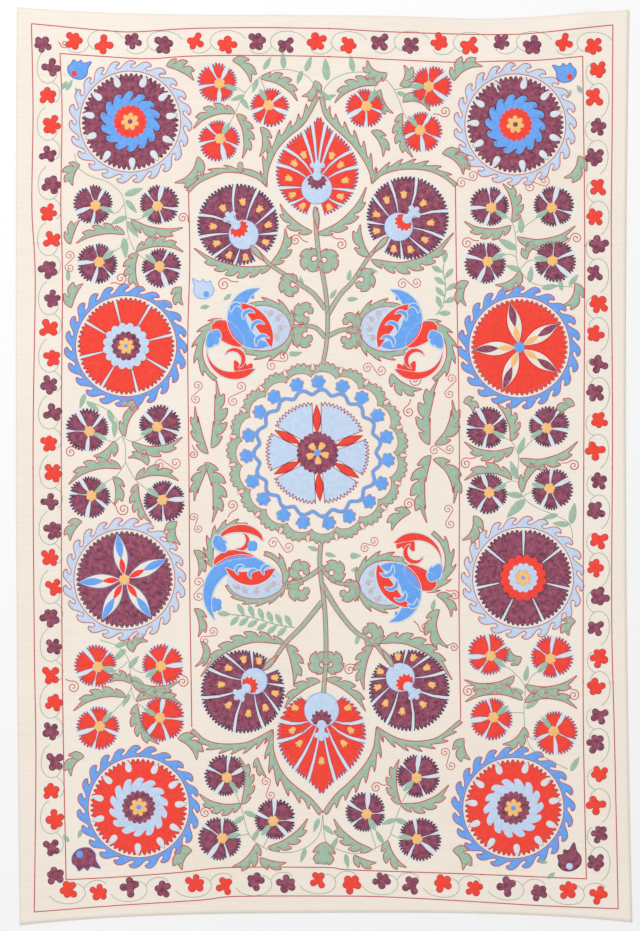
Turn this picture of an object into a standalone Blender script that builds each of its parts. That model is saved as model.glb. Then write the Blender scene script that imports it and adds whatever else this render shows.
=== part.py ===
"""Suzani embroidered textile, laid out flat: one cotton sheet with its hem turned in all round.

The sheet lies in the XY plane with its long side along Y and its underside on Z = 0.
Its two ends draw in at the middle, as a heavily stitched cloth does, and a few shallow
drag folds run in from the upper right corner. The stitching is not modelled here: its
height is counted in the thickness of the sheet.
"""

import bpy
import numpy as np

CLOTH_WIDTH = 1.510        # over the widest points, hem turned in
CLOTH_LENGTH = 2.250       # corner to corner, hem turned in
CLOTH_THICKNESS = 0.002    # ground cotton and the stitching on it
COLUMNS = 36               # cells across the width
ROWS_LOWER = 20            # cells along the flat lower part
ROWS_UPPER = 24            # finer cells along the upper part, which holds the folds
UPPER_PART = 0.62          # length of the upper part

# Each side is a line between two corners that draws in by "bow" over its middle.
# start and end are how far each corner stands inside the box; power squares the bow off.
SIDES = {
    #          start    end      bow      power
    "left":   (0.0090, 0.0020, -0.0055, 2.0),
    "right":  (0.0000, 0.0070, 0.0125, 2.0),
    "bottom": (0.0000, 0.0070, 0.0270, 3.0),
    "top":    (0.0000, 0.0070, 0.0170, 4.0),
}
TOP_DIP = {"at": 0.77, "width": 0.11, "depth": 0.008}   # extra sag left of the right corner

# Shallow folds, each a soft ridge over a straight run that fades out at both ends.
FOLDS = [
    # x0      y0      x1      y1      width   height
    (0.640, 1.090, 0.400, 0.985, 0.030, 0.0060),    # from the right corner inwards
    (0.420, 0.975, 0.100, 0.930, 0.032, 0.0055),    # its lower run
    (0.430, 1.045, 0.190, 0.985, 0.028, 0.0040),    # above it, along the right rosette
    (0.090, 1.000, -0.100, 0.845, 0.030, 0.0050),   # down past the top palmette
    (-0.130, 1.075, -0.440, 0.950, 0.034, 0.0040),  # short fold at the upper left
]
FOLD_FLOOR = 0.0006        # ridges lower than this lie flat on the surface

COTTON = {"colour": (0.915, 0.855, 0.770, 1.0), "roughness": 0.9, "metallic": 0.0}


def side_line(name, along):
    """How far a side stands inside the box, at a fraction along it from its first corner."""
    start, end, bow, power = SIDES[name]
    arch = 1.0 - np.abs(2.0 * along - 1.0) ** power
    return start + (end - start) * along + bow * arch


def outline(across, up):
    """Plan position of the point at fractions (across, up) of the sheet."""
    dip = TOP_DIP["depth"] * np.exp(-(((across - TOP_DIP["at"]) / TOP_DIP["width"]) ** 2))
    left = -CLOTH_WIDTH / 2 + side_line("left", up)
    right = CLOTH_WIDTH / 2 - side_line("right", up)
    bottom = -CLOTH_LENGTH / 2 + side_line("bottom", across)
    top = CLOTH_LENGTH / 2 - side_line("top", across) - dip
    return left + (right - left) * across, bottom + (top - bottom) * up


def fold_height(x, y):
    """Height of the underside: the sum of the folds, flat on the surface between them."""
    total = np.zeros_like(x)
    for x0, y0, x1, y1, width, height in FOLDS:
        run = np.array([x1 - x0, y1 - y0])
        length = np.hypot(*run)
        along = ((x - x0) * run[0] + (y - y0) * run[1]) / length
        aside = ((y - y0) * run[0] - (x - x0) * run[1]) / length
        beyond = np.maximum(0.0, np.abs(along - length / 2) - length / 2)
        total += height * np.exp(-((aside / width) ** 2) - ((beyond / (1.5 * width)) ** 2))
    return np.maximum(0.0, total - FOLD_FLOOR)


def clear_scene():
    for obj in list(bpy.data.objects):
        bpy.data.objects.remove(obj, do_unlink=True)


def cotton_material():
    material = bpy.data.materials.new("cotton")
    material.use_nodes = True
    shader = material.node_tree.nodes["Principled BSDF"]
    shader.inputs["Base Color"].default_value = COTTON["colour"]
    shader.inputs["Roughness"].default_value = COTTON["roughness"]
    shader.inputs["Metallic"].default_value = COTTON["metallic"]
    return material


def up_fraction(row):
    """Fraction up the sheet of a row of the grid, with finer rows in the upper part."""
    split = 1.0 - UPPER_PART / CLOTH_LENGTH
    lower = split * row / ROWS_LOWER
    upper = split + (1.0 - split) * (row - ROWS_LOWER) / ROWS_UPPER
    return np.where(row <= ROWS_LOWER, lower, upper)


def ground_cloth(collection):
    """The whole sheet: a grid laid along the outline and the folds, then given its thickness."""
    rows = ROWS_LOWER + ROWS_UPPER
    bpy.ops.mesh.primitive_grid_add(x_subdivisions=COLUMNS, y_subdivisions=rows, size=1.0)
    cloth = bpy.context.active_object
    cloth.name = "ground_cloth"
    cloth.data.name = "ground_cloth"
    for old in list(cloth.users_collection):
        old.objects.unlink(cloth)
    collection.objects.link(cloth)

    points = np.empty(len(cloth.data.vertices) * 3)
    cloth.data.vertices.foreach_get("co", points)
    points = points.reshape(-1, 3)
    row = np.round((points[:, 1] + 0.5) * rows)
    x, y = outline(points[:, 0] + 0.5, up_fraction(row))
    x -= (x.max() + x.min()) / 2
    y -= (y.max() + y.min()) / 2
    points = np.column_stack([x, y, fold_height(x, y)])
    cloth.data.vertices.foreach_set("co", points.ravel())
    cloth.data.update()

    thickness = cloth.modifiers.new("thickness", "SOLIDIFY")
    thickness.thickness = CLOTH_THICKNESS
    thickness.offset = 1.0
    thickness.use_even_offset = True
    cloth.data.materials.append(cotton_material())
    cloth.data.shade_smooth()
    return cloth


def main():
    clear_scene()
    collection = bpy.data.collections.new("suzani_textile")
    bpy.context.scene.collection.children.link(collection)
    ground_cloth(collection)


main()
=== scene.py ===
import bmesh
import bpy
import numpy as np
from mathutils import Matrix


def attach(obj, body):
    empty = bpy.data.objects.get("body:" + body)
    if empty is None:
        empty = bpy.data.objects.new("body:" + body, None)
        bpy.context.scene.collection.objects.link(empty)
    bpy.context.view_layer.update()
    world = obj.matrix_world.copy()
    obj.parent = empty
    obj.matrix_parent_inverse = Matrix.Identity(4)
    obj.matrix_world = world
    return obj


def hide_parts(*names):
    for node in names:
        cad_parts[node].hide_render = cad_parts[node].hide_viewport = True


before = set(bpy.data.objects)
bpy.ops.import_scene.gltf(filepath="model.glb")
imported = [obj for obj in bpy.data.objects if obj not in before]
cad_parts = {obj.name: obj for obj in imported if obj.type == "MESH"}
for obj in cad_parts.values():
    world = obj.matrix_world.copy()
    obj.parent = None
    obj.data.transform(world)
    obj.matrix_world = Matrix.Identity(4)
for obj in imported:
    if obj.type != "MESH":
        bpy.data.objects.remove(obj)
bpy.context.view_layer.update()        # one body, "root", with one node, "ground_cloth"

cm = 0.01                # the pattern is laid out in centimetres from the middle of the cloth
mm = 0.001
tau = 2 * np.pi

# the cloth's outline and folds, the same as the solid's, in metres; the creases are only here
clothSize = {"width": 1.510, "length": 2.250, "thickness": 0.0012, "across": 150, "up": 224}
sides = {
    #          start    end      bow      power
    "left":   (0.0090, 0.0020, -0.0055, 2.0),
    "right":  (0.0000, 0.0070, 0.0125, 2.0),
    "bottom": (0.0000, 0.0070, 0.0270, 3.0),
    "top":    (0.0000, 0.0070, 0.0170, 4.0),
}
topDip = {"at": 0.77, "width": 0.11, "depth": 0.008}
folds = [
    # x0      y0      x1      y1      width   height
    (0.640, 1.090, 0.400, 0.985, 0.030, 0.0060),
    (0.420, 0.975, 0.100, 0.930, 0.032, 0.0055),
    (0.430, 1.045, 0.190, 0.985, 0.028, 0.0040),
    (0.090, 1.000, -0.100, 0.845, 0.030, 0.0050),
    (-0.130, 1.075, -0.440, 0.950, 0.034, 0.0040),
]
foldFloor = 0.0006       # ridges lower than this lie flat on the surface
creaseFade = 0.03        # how far past its ends a crease dies away
creases = [
    # x0   y0     x1     y1     width  height: left from being stored folded
    (-0.75, 0.545, -0.45, 0.545, 0.006, 0.0011),
    (0.50, 0.540, 0.75, 0.540, 0.006, 0.0012),
    (-0.75, -0.005, -0.55, -0.002, 0.006, 0.0010),
    (0.50, -0.004, 0.75, -0.004, 0.006, 0.0012),
    (-0.75, -0.560, -0.40, -0.560, 0.006, 0.0008),
    (0.48, -0.530, 0.75, -0.530, 0.006, 0.0012),
    (0.66, 0.265, 0.75, 0.265, 0.005, 0.0008),
    (0.010, 1.11, 0.010, 1.00, 0.006, 0.0009),
    (-0.185, -1.10, -0.185, -0.92, 0.006, 0.0009),
    (0.385, -1.10, 0.385, -0.96, 0.006, 0.0009),
]


def sideLine(name, along):
    # how far a side stands inside the box: a line between its corners, drawn in by a flat arch
    start, end, bow, power = sides[name]
    return start + (end - start) * along + bow * (1.0 - np.abs(2.0 * along - 1.0) ** power)


def outline(across, up):
    # plan position of a fraction of the way across and up, straight lines between the four sides
    dip = topDip["depth"] * np.exp(-(((across - topDip["at"]) / topDip["width"]) ** 2))
    left = -clothSize["width"] / 2 + sideLine("left", up)
    right = clothSize["width"] / 2 - sideLine("right", up)
    bottom = -clothSize["length"] / 2 + sideLine("bottom", across)
    top = clothSize["length"] / 2 - sideLine("top", across) - dip
    return left + (right - left) * across, bottom + (top - bottom) * up


def ridge(x, y, row, sharp):
    # one ridge: height falls with distance from the segment, as a bell or, if sharp, as a crease
    x0, y0, x1, y1, width, height = row
    runX, runY = x1 - x0, y1 - y0
    length = np.hypot(runX, runY)
    along = ((x - x0) * runX + (y - y0) * runY) / length
    aside = np.abs((y - y0) * runX - (x - x0) * runY) / length
    beyond = np.maximum(0.0, np.abs(along - length / 2) - length / 2)
    if sharp:
        return height * np.exp(-aside / width - beyond / creaseFade)
    return height * np.exp(-((aside / width) ** 2) - ((beyond / (1.5 * width)) ** 2))


def underside(x, y):
    # height of the cloth's underside over the floor
    total = sum(ridge(x, y, row, False) for row in folds)
    total = np.maximum(0.0, total - foldFloor)
    return total + sum(ridge(x, y, row, True) for row in creases)


# every motif adds grids of points to the thread that it is worked in
threads = {}
sunk = -0.2              # mm: every edge of the stitching dips into the cloth, so no gap shows under it


def addGrid(thread, xy, height, uv, loop=False):
    # xy is rows by columns in cm, height is in mm over the cloth, uv is across and along the stitches in cm
    rows, columns = xy.shape[:2]
    heights = np.broadcast_to(height, (rows, columns))
    index = np.arange(rows * columns).reshape(rows, columns)
    if loop:
        index = np.vstack([index, index[:1]])
    corners = np.stack([index[:-1, :-1], index[1:, :-1], index[1:, 1:], index[:-1, 1:]], axis=-1)
    corners = corners.reshape(-1, 4)
    flat = xy.reshape(-1, 2)
    a, b = flat[corners[:, 2]] - flat[corners[:, 0]], flat[corners[:, 3]] - flat[corners[:, 1]]
    if (a[:, 0] * b[:, 1] - a[:, 1] * b[:, 0]).sum() < 0:
        corners = corners[:, ::-1]
    store = threads.setdefault(thread, {"xy": [], "height": [], "uv": [], "faces": [], "count": 0})
    store["xy"].append(flat)
    store["height"].append(heights.reshape(-1))
    store["uv"].append(uv.reshape(-1, 2))
    store["faces"].append(corners + store["count"])
    store["count"] += rows * columns


def smooth(points, steps=8, closed=False):
    # Catmull-Rom curve through given points, steps points to each span
    p = np.asarray(points, float)
    if closed:
        p = np.vstack([p[-1:], p, p[:2]])
    else:
        p = np.vstack([2 * p[:1] - p[1:2], p, 2 * p[-1:] - p[-2:-1]])
    t = (np.arange(steps) / steps)[None, :, None]
    a, b, c, d = (p[i:len(p) - 3 + i][:, None, :] for i in range(4))
    curve = 0.5 * (2 * b + (c - a) * t + (2 * a - 5 * b + 4 * c - d) * t**2 + (3 * b - a - 3 * c + d) * t**3)
    curve = curve.reshape(-1, p.shape[1])
    return curve if closed else np.vstack([curve, p[-2]])


def arcLength(path):
    # length along a path from its start to each of its points
    return np.concatenate([[0.0], np.cumsum(np.hypot(*np.diff(path, axis=0).T))])


def respace(path, step):
    # the same path with its points evenly spaced, about step cm apart
    along = arcLength(path)
    at = np.linspace(0.0, along[-1], max(3, int(round(along[-1] / step)) + 1))
    return np.stack([np.interp(at, along, path[:, k]) for k in (0, 1)], axis=1)


def sideways(path, closed=False):
    # unit normals to the left of a path
    step = np.gradient(path, axis=0)
    if closed:
        step = np.roll(path, -1, axis=0) - np.roll(path, 1, axis=0)
    step = step / np.maximum(np.hypot(step[:, 0], step[:, 1]), 1e-9)[:, None]
    return np.stack([-step[:, 1], step[:, 0]], axis=1)


lineWork = {"width": 0.28, "height": 1.05, "step": 0.30}   # cm, mm, cm: one row of chain stitch


def line(thread, path, width=lineWork["width"], lift=0.0, closed=False, step=lineWork["step"]):
    # chain stitch along a path: a low roof-shaped bead, its ridge on the path
    if closed:
        path = respace(np.vstack([path, path[:1]]), step)[:-1]
    else:
        path = respace(path, step)
    out = sideways(path, closed)
    offsets = np.array([-0.5, 0.0, 0.5]) * width
    xy = path[:, None, :] + out[:, None, :] * offsets[None, :, None]
    along = np.arange(len(path)) * step
    uv = np.stack(np.broadcast_arrays(offsets[None, :], along[:, None]), axis=-1)
    height = lift + np.array([sunk, lineWork["height"], sunk])
    addGrid(thread, xy, height[None, :], uv, loop=closed)


def turned(points, x, y, degrees, size=1.0, flip=1):
    # points of a motif drawn about its own origin, put in place on the cloth
    a = np.radians(degrees)
    px, py = points[..., 0] * size, points[..., 1] * size * flip
    return np.stack([x + px * np.cos(a) - py * np.sin(a), y + px * np.sin(a) + py * np.cos(a)], axis=-1)


def polar(x, y, radius, angle):
    # points at a radius and an angle round x, y
    return np.stack([x + radius * np.cos(angle), y + radius * np.sin(angle)], axis=-1)


crossRows = np.array([-1.0, -0.82, 0.0, 0.82, 1.0])       # across a filled leaf, edge to edge
crossRise = np.array([sunk, 0.80, 1.0, 0.80, sunk])       # its rounded section
radialRows = np.array([0.0, 0.10, 0.5, 0.92, 1.0])        # out across a filled ring
radialRise = np.array([0.8, 0.95, 1.0, 0.85, sunk])


def fillBand(thread, left, right, rise=0.7, lift=0.0):
    # satin fill between two edges: straight stitches across, a rounded section
    share = (crossRows[None, :, None] + 1) / 2
    xy = left[:, None, :] * (1 - share) + right[:, None, :] * share
    middle = (left + right) / 2
    wide = np.hypot(*(right - left).T)
    uv = np.stack([arcLength(middle)[:, None] + 0 * crossRows, wide[:, None] * crossRows / 2], axis=-1)
    addGrid(thread, xy, lift + rise * crossRise[None, :], uv)


def fillPolar(thread, x, y, angle, inner, outer, rise=0.7, lift=0.0, loop=True):
    # fill between two radii that depend on the angle
    radius = inner[:, None] + (outer - inner)[:, None] * radialRows[None, :]
    theta = np.broadcast_to(angle[:, None], radius.shape)
    middle = 0.5 * (inner.mean() + outer.mean())
    uv = np.stack([theta * middle, radius], axis=-1)
    addGrid(thread, polar(x, y, radius, theta), lift + rise * radialRise[None, :], uv, loop=loop)


def circle(x, y, radius):
    # 96 points evenly spaced round a circle
    return polar(x, y, radius, np.arange(96) * tau / 96)


def disc(thread, x, y, radius, lift=0.0, rise=0.7, lobes=0, depth=0.0, turn=0.0, steps=10):
    # round fill with a rim of rounded lobes: each lobe is a half wave raised on the radius
    count = max(24, lobes * steps)
    a = np.arange(count) * tau / count + np.radians(turn)
    wave = np.abs(np.sin(0.5 * lobes * (a - np.radians(turn)))) ** 0.8 if lobes else 0.0 * a
    outer = radius - depth * (1 - wave)
    fillPolar(thread, x, y, a, 0 * a, outer, rise=rise, lift=lift)
    return polar(x, y, outer, a)


def ragged(phase, depth, sharp=1.25):
    # a row of teeth: 1 at each tip and 1 - depth in the notches, one tooth to a unit of phase
    return 1 - depth * np.abs(2 * (phase % 1.0) - 1) ** sharp


dropSteps = 14           # points along each side of a drop


def drop(thread, x, y, heading, length, width, lift=0.0, rise=0.6, blunt=0.5):
    # one plain petal or bud: half-width is a half sine, its fattest place moved by blunt
    t = np.linspace(0.0, 1.0, dropSteps)
    half = 0.5 * width * np.sin(np.pi * t ** blunt) ** 0.8 + 0.01
    along = np.stack([t * length, half], axis=1)
    left = turned(along, x, y, heading)
    right = turned(along * [1, -1], x, y, heading)
    fillBand(thread, left, right, rise=rise, lift=lift)
    return np.vstack([left, right[::-1]])


frameWidth = 0.30        # cm, of the two stitched lines on either side of the border
frameLines = {
    # hand-drawn, so each side wavers: corner, points along the side, next corner, in cm
    "outer": [
        [(-71.7, 108.4), (-54.7, 106.8), (-46.4, 106.4), (-33, 107.2), (-17.5, 107.4), (1.5, 107.2),
         (12, 106.6), (27.5, 106.0), (43, 105.7), (53.3, 106.2), (70.8, 108.1)],
        [(70.8, 108.1), (70.6, 80), (70.4, 55), (70.7, 10), (70.5, -36), (71.2, -67), (72.1, -108.5)],
        [(72.1, -108.5), (54, -107.8), (35.8, -106.7), (15, -105.6), (1.5, -105.4), (-21.8, -105.5),
         (-30.4, -106.4), (-52, -107.8), (-71, -109.3)],
        [(-71, -109.3), (-70.6, -72), (-71.0, -43), (-71.3, 5), (-70.8, 40), (-70.9, 51), (-71.6, 64),
         (-71.3, 87), (-71.7, 108.4)],
    ],
    "inner": [
        [(-64.7, 101.1), (-54.7, 100.4), (-43.3, 99.8), (-33, 100.4), (-17.5, 100.6), (1.5, 100.3),
         (19.8, 99.4), (32.6, 98.9), (43, 99.1), (53.3, 99.5), (63.4, 100.4)],
        [(63.4, 100.4), (63.9, 56), (63.7, 10), (63.5, -38), (63.6, -67), (64.3, -101.2)],
        [(64.3, -101.2), (35.8, -100), (6.9, -99), (0.2, -98.4), (-23, -98.4), (-35.3, -99.6),
         (-50, -100.7), (-63.2, -101.4)],
        [(-63.2, -101.4), (-63.8, -72), (-64.2, -43), (-64.4, 5), (-64.1, 45), (-64.5, 64), (-64.2, 87),
         (-64.7, 101.1)],
    ],
}
border = {
    # runs in the direction the vine grows: start, end, how many, where the colour pairs start,
    # whether the even or the odd sprigs have the vine round them, and how far the middle bows inward
    "runs": [
        ((66.0, 103.4), (-69.1, 103.9), 19, 1, 1, 0.0),
        ((-67.4, 97.6), (-66.4, -100.7), 29, 0, 0, 0.0),
        ((-62.6, -104.4), (67.6, -104.8), 18, 2, 1, 2.6),
        ((67.2, -97.2), (66.8, 97.3), 28, 2, 1, 0.0),
    ],
    "sway": 0.45,        # cm that sprigs stand to one side and the other of the middle
    "size": 2.4,         # cm from a sprig's middle to the end of a lobe
    "vine": 0.22,        # cm wide
    "edge": 0.16,        # cm wide, round each sprig
    # onward in steps, inward in cm, from the middle of the sprig that the vine goes round
    "loop": [(-0.62, -0.9), (-0.42, -2.2), (-0.05, -2.9), (0.34, -2.4), (0.53, -0.7), (0.47, 1.0),
             (0.28, 1.9), (0.08, 1.7)],
    "branch": [(0.49, 0.8), (0.64, 2.1), (0.86, 2.65), (1.10, 2.3), (1.20, 1.5)],
}
darkEdge = {"plum": "navy", "red": "deepRed"}     # the thread that edges each filled colour
sprigShapes = [
    # four or five round lobes each: angle, reach, lobe radius
    [(20, 0.92, 0.34), (84, 1.00, 0.34), (165, 1.00, 0.36), (262, 0.96, 0.34)],
    [(0, 0.95, 0.34), (55, 0.90, 0.30), (118, 0.95, 0.32), (190, 1.02, 0.34), (275, 0.86, 0.38)],
    [(14, 0.98, 0.34), (76, 0.96, 0.36), (150, 0.90, 0.34), (215, 0.80, 0.32), (285, 1.00, 0.34)],
]


def blob(thread, x, y, size, turn, lobes, core=0.42, lift=0.0):
    # a small lobed flower: a round core and a round lobe for each row of angle, reach, lobe radius;
    # the rim is the farthest of them along each ray, then evened out with its neighbours
    count = 72
    a = np.arange(count) * tau / count
    radius = np.full(count, core)
    for angle, reach, lobeRadius in lobes:
        away = a - np.radians(angle)
        middle = reach - lobeRadius
        room = lobeRadius**2 - (middle * np.sin(away)) ** 2
        lobe = middle * np.cos(away) + np.sqrt(np.maximum(room, 0.0))
        radius = np.maximum(radius, np.where(room > 0, lobe, 0.0))
    radius = size * (0.6 * radius + 0.2 * (np.roll(radius, 1) + np.roll(radius, -1)))
    a = a + np.radians(turn)
    fillPolar(thread, x, y, a, 0 * a, radius, rise=0.75, lift=lift)
    return polar(x, y, radius, a)


def borderRun(start, end, count, phase, looped, bow):
    # sprigs zigzag along the run in pairs of one colour; the vine loops round every second one
    start, end = np.array(start), np.array(end)
    run = (end - start) / (count - 1)
    pitch = np.hypot(*run)
    onward = run / pitch
    inward = np.array([-onward[1], onward[0]])
    heading = np.degrees(np.arctan2(onward[1], onward[0]))

    def at(k, along, aside):
        # a place beside sprig k, on a run whose middle bows inward and whose ends are fixed
        off = np.clip(2 * (k + along) / (count - 1) - 1, -1, 1)
        return start + run * (k + along) + inward * (aside + bow * (1 - off**2) ** 1.5)

    for k in range(count):
        mark = count - 1 - k + phase
        plum = mark % 4 < 2
        second = mark % 2 == looped
        middle = at(k, 0.04 * np.sin(5.1 * k), border["sway"] * (1 if second else -1))
        shape = sprigShapes[(k * 5 + phase) % 3]
        size = border["size"] * (1 + 0.07 * np.sin(3.7 * k))
        edge = blob("plum" if plum else "red", *middle, size, heading + 40 * np.sin(2.3 * k + phase), shape)
        line(darkEdge["plum" if plum else "red"], edge, width=border["edge"], lift=-0.1, closed=True,
             step=0.25)
        if second and k + 1 < count:
            wander = 0.12 * np.sin(1.9 * k)
            for part in ("loop", "branch"):
                path = [at(k, along + wander * 0.3, aside + wander) for along, aside in border[part]]
                line("vine", smooth(path), width=border["vine"], lift=-0.2)


def frameAndBorder():
    # the two wavering lines on all four sides, and the border between them
    for four in frameLines.values():
        for side in four:
            line("outline", smooth(side), width=frameWidth)
    for run in border["runs"]:
        borderRun(*run)


waveCrest = np.array([
    # one breaking wave of the ring round a rosette: share of its pitch onward, share of its height
    (0.00, 0.00), (0.14, 0.12), (0.28, 0.34), (0.42, 0.60), (0.57, 0.84), (0.75, 0.99), (0.95, 0.98),
    (1.10, 0.80), (1.12, 0.56), (1.01, 0.64), (0.90, 0.54), (0.82, 0.32), (0.82, 0.12), (0.89, 0.00),
    (0.96, -0.03),
])


def waveRing(thread, edgeThread, x, y, base, foot, tip, count, turn, hand, lift=0.0, edgeWidth=0.26):
    # a ring with waves that all break one way: the outer edge repeats the crest, the inner is a circle
    each = len(waveCrest)
    number = np.repeat(np.arange(count), each)
    grow = 1 + 0.07 * np.sin(4.3 * number + x)
    within = np.tile(np.arange(each) / each, count)
    pitch = tau / count
    outerAngle = np.radians(turn) + hand * pitch * (number + np.tile(waveCrest[:, 0], count))
    innerAngle = np.radians(turn) + hand * pitch * (number + within)
    outer = foot + (tip - foot) * np.tile(waveCrest[:, 1], count) * grow
    share = radialRows[None, :]
    radius = base + (outer - base)[:, None] * share
    theta = innerAngle[:, None] + (outerAngle - innerAngle)[:, None] * share**1.5
    xy = polar(x, y, radius, theta)
    uv = np.stack([np.broadcast_to(innerAngle[:, None] * foot, radius.shape), radius], axis=-1)
    addGrid(thread, xy, lift + 0.7 * radialRise[None, :], uv, loop=True)
    if edgeThread:
        line(edgeThread, xy[:, -1], width=edgeWidth, lift=lift + 0.1, closed=True, step=0.24)


toothStep = 0.16         # cm between the points of an edge line that follows teeth
toothPoints = 8          # points of a filled edge along each tooth
toothSharp = 1.45        # over 1 for slim tips and round notches


def toothedField(thread, x, y, inner, outer, teeth, depth, turn=0.0):
    # a disc with a ragged rim, edged in a darker thread along its teeth
    phase = np.linspace(0.0, teeth, teeth * toothPoints + 1)[:-1]
    a = np.radians(turn) + phase / teeth * tau
    deep = depth * (0.85 + 0.3 * np.sin(phase * 1.7) ** 2)
    rim = outer - deep * (1 - ragged(phase + 0.5, 1.0, 1.5))
    fillPolar(thread, x, y, a, 0 * a + inner, rim)
    line(darkEdge[thread], polar(x, y, rim, a), width=0.20, closed=True, step=toothStep)


def petal(thread, edgeThread, x, y, radius, theta, section, across, lift, edgeWidth):
    # one petal from its grids of radii and angles, with its two sides and its rim edged
    xy = polar(x, y, radius, theta)
    height = np.broadcast_to(lift + 0.7 * section, radius.shape).copy()
    height[[0, -1]] = lift + sunk
    addGrid(thread, xy, height, np.stack([theta * across, radius], axis=-1))
    edge = np.vstack([xy[0], xy[1:-1, -1], xy[-1, ::-1]])
    line(edgeThread, edge, width=edgeWidth, lift=lift, step=toothStep)


def sectorPetal(thread, edgeThread, x, y, a0, a1, inner, outer, teeth, depth, gap, lift=0.0, shift=(0.0, 0.0),
                edgeWidth=0.18, bow=0.0):
    # a sector of a toothed flower; its sides draw apart outwards, and only its rim is ragged.
    # shift is how far, and at what angle, the rim's centre stands off the flower's heart
    count = teeth * toothPoints + 1
    phase = np.linspace(0.0, teeth, count)
    share = radialRows
    across = np.linspace(-1.0, 1.0, count)
    mid, half = 0.5 * (a0 + a1), 0.5 * (a1 - a0)
    away = mid + across * half - shift[1]
    rim = shift[0] * np.cos(away) + np.sqrt(outer**2 - (shift[0] * np.sin(away)) ** 2)
    uneven = 0.85 + 0.25 * np.sin(phase * 2.1 + a0) ** 2
    rim = rim - depth * (1 - ragged(phase + 0.5, 1.0, toothSharp)) * uneven
    rim = rim - 0.25 * across**6
    radius = inner + (rim - inner)[:, None] * share[None, :]
    width = (gap[0] + (gap[1] - gap[0]) * share) / np.maximum(inner + (outer - inner) * share, 0.4)
    bend = bow * np.sin(np.pi * share)
    theta = mid + bend[None, :] + across[:, None] * np.maximum(half - width, 0.06)[None, :]
    petal(thread, edgeThread, x, y, radius, theta, radialRise, 0.6 * outer, lift, edgeWidth)


def flowerHeart(x, y, size, dotThread, dot, lift, turn):
    # small yellow flower with round petals and a dot, at the middle of a rosette
    edge = disc("yellow", x, y, size, lift=lift, lobes=7, depth=0.36 * size, turn=turn, steps=12)
    line("ochreLine", edge, width=0.10, lift=lift - 0.1, closed=True, step=0.25)
    disc(dotThread, x, y, dot, lift=lift + 0.3, rise=0.5)


def haloDisc(x, y, radius, teeth, depth):
    # the whitish-blue ground that shows between petals and round the teeth
    phase = np.linspace(0.0, teeth, teeth * 4 + 1)[:-1]
    a = phase / teeth * tau
    rim = radius - depth * (1 - ragged(phase + 0.5, 1.0, 2.0))
    fillPolar("ice", x, y, a, 0 * a, rim, rise=0.35)


rosettes = [
    # x     y      wave ring     kind        turn
    (-47.5, 84.4, "paleBlue", "oval plum", 8),
    (-48.5, 29.4, "blue", "sectors red", 14),
    (-48.9, -27.8, "paleBlue", "star plum", 99),
    (-45.4, -83.6, "blue", "oval red", 4),
    (46.9, 83.7, "paleBlue", "oval plum", 15),
    (47.9, 29.1, "blue", "star red", 102),
    (48.8, -27.4, "paleBlue", "sectors plum", 38),
    (46.4, -83.8, "blue", "oval red", 10),
]
rosetteSizes = {
    "tip": 15.1, "foot": 13.15, "base": 12.45, "circle": 12.4, "field": 11.85,
    "waves": 23, "teeth": 58, "toothDepth": 1.1, "ovals": 11, "ovalsAt": 8.8,
}
starHeadings = {"red": (102, 31, -33, -111, 183), "plum": (99, 26, -55, -119, -176)}


def ovalRosette(x, y, main, swirl, inner, turn, hand):
    # toothed field with pale ovals let into its rim, a ring of small waves, a scalloped disc
    size = rosetteSizes
    toothedField(main, x, y, 3.0, size["field"], size["teeth"], size["toothDepth"], turn)
    for k in range(size["ovals"]):
        a = np.radians(turn) + (k + 0.12 * np.sin(5 * k)) * tau / size["ovals"]
        drop("ice", *polar(x, y, size["ovalsAt"], a), np.degrees(a), 3.2, 1.75, lift=0.35, blunt=0.6)
    waveRing(swirl, "navy" if main == "plum" else None, x, y, 2.0, 6.1, 7.6, 14, turn, hand, lift=0.4,
             edgeWidth=0.12)
    disc(inner, x, y, 4.3, lift=0.9, lobes=18, depth=0.55, turn=turn)
    flowerHeart(x, y, 2.25, "plum" if main == "plum" else "blue", 0.65, 1.4, turn)


def sectorRosette(x, y, main, scallop, middle, count, turn, teeth):
    # toothed sectors with narrow pale gaps, then two scalloped discs and a yellow flower
    size = rosetteSizes
    haloDisc(x, y, size["field"] + 0.2, 60, 0.7)
    for k in range(count):
        a0 = np.radians(turn) + k * tau / count
        sectorPetal(main, darkEdge[main], x, y, a0, a0 + tau / count, 3.0, size["field"], teeth, 0.95,
                    (0.12, 0.45), lift=0.35)
    edge = disc(scallop, x, y, 6.0, lift=0.8, lobes=16, depth=0.8, turn=turn + 8)
    line("navy" if main == "plum" else "outline", edge, width=0.12, lift=0.7, closed=True, step=0.25)
    disc(middle, x, y, 3.8, lift=1.2, lobes=14, depth=0.5, turn=turn)
    flowerHeart(x, y, 2.1, "blue", 0.5, 1.6, turn)


def almond(thread, x, y, heading, start, end, width, lift, edge=None, edgeWidth=0.14):
    # a slim pointed petal that lies along a ray: half-width is a sine, pointed at both ends
    t = np.linspace(0.0, 1.0, 20)
    half = 0.5 * width * np.sin(np.pi * t**0.95) ** 1.1 + 0.012
    along = np.stack([start + t * (end - start), half], axis=1)
    left, right = turned(along, x, y, heading), turned(along * [1, -1], x, y, heading)
    fillBand(thread, left, right, lift=lift)
    if edge:
        line(edge, np.vstack([left, right[::-1]]), width=edgeWidth, lift=lift, closed=True, step=0.22)


def starRosette(x, y, main, tipThread, baseThread, heart):
    # toothed field with five long pale petals, each with a coloured base and tip
    size = rosetteSizes
    toothedField(main, x, y, 0.5, size["field"], size["teeth"], 0.95)
    for heading in starHeadings[main]:
        almond("cream", x, y, heading, 0.8, 11.4, 3.7, 0.35, edge="blue" if main == "plum" else "deepRed")
        almond(tipThread, x, y, heading, 5.0, 11.2, 1.9, 0.85)
        almond(baseThread, x, y, heading, 1.2, 5.6, 1.5, 0.85)
    disc(heart, x, y, 1.35, lift=1.3, lobes=6, depth=0.25)


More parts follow.
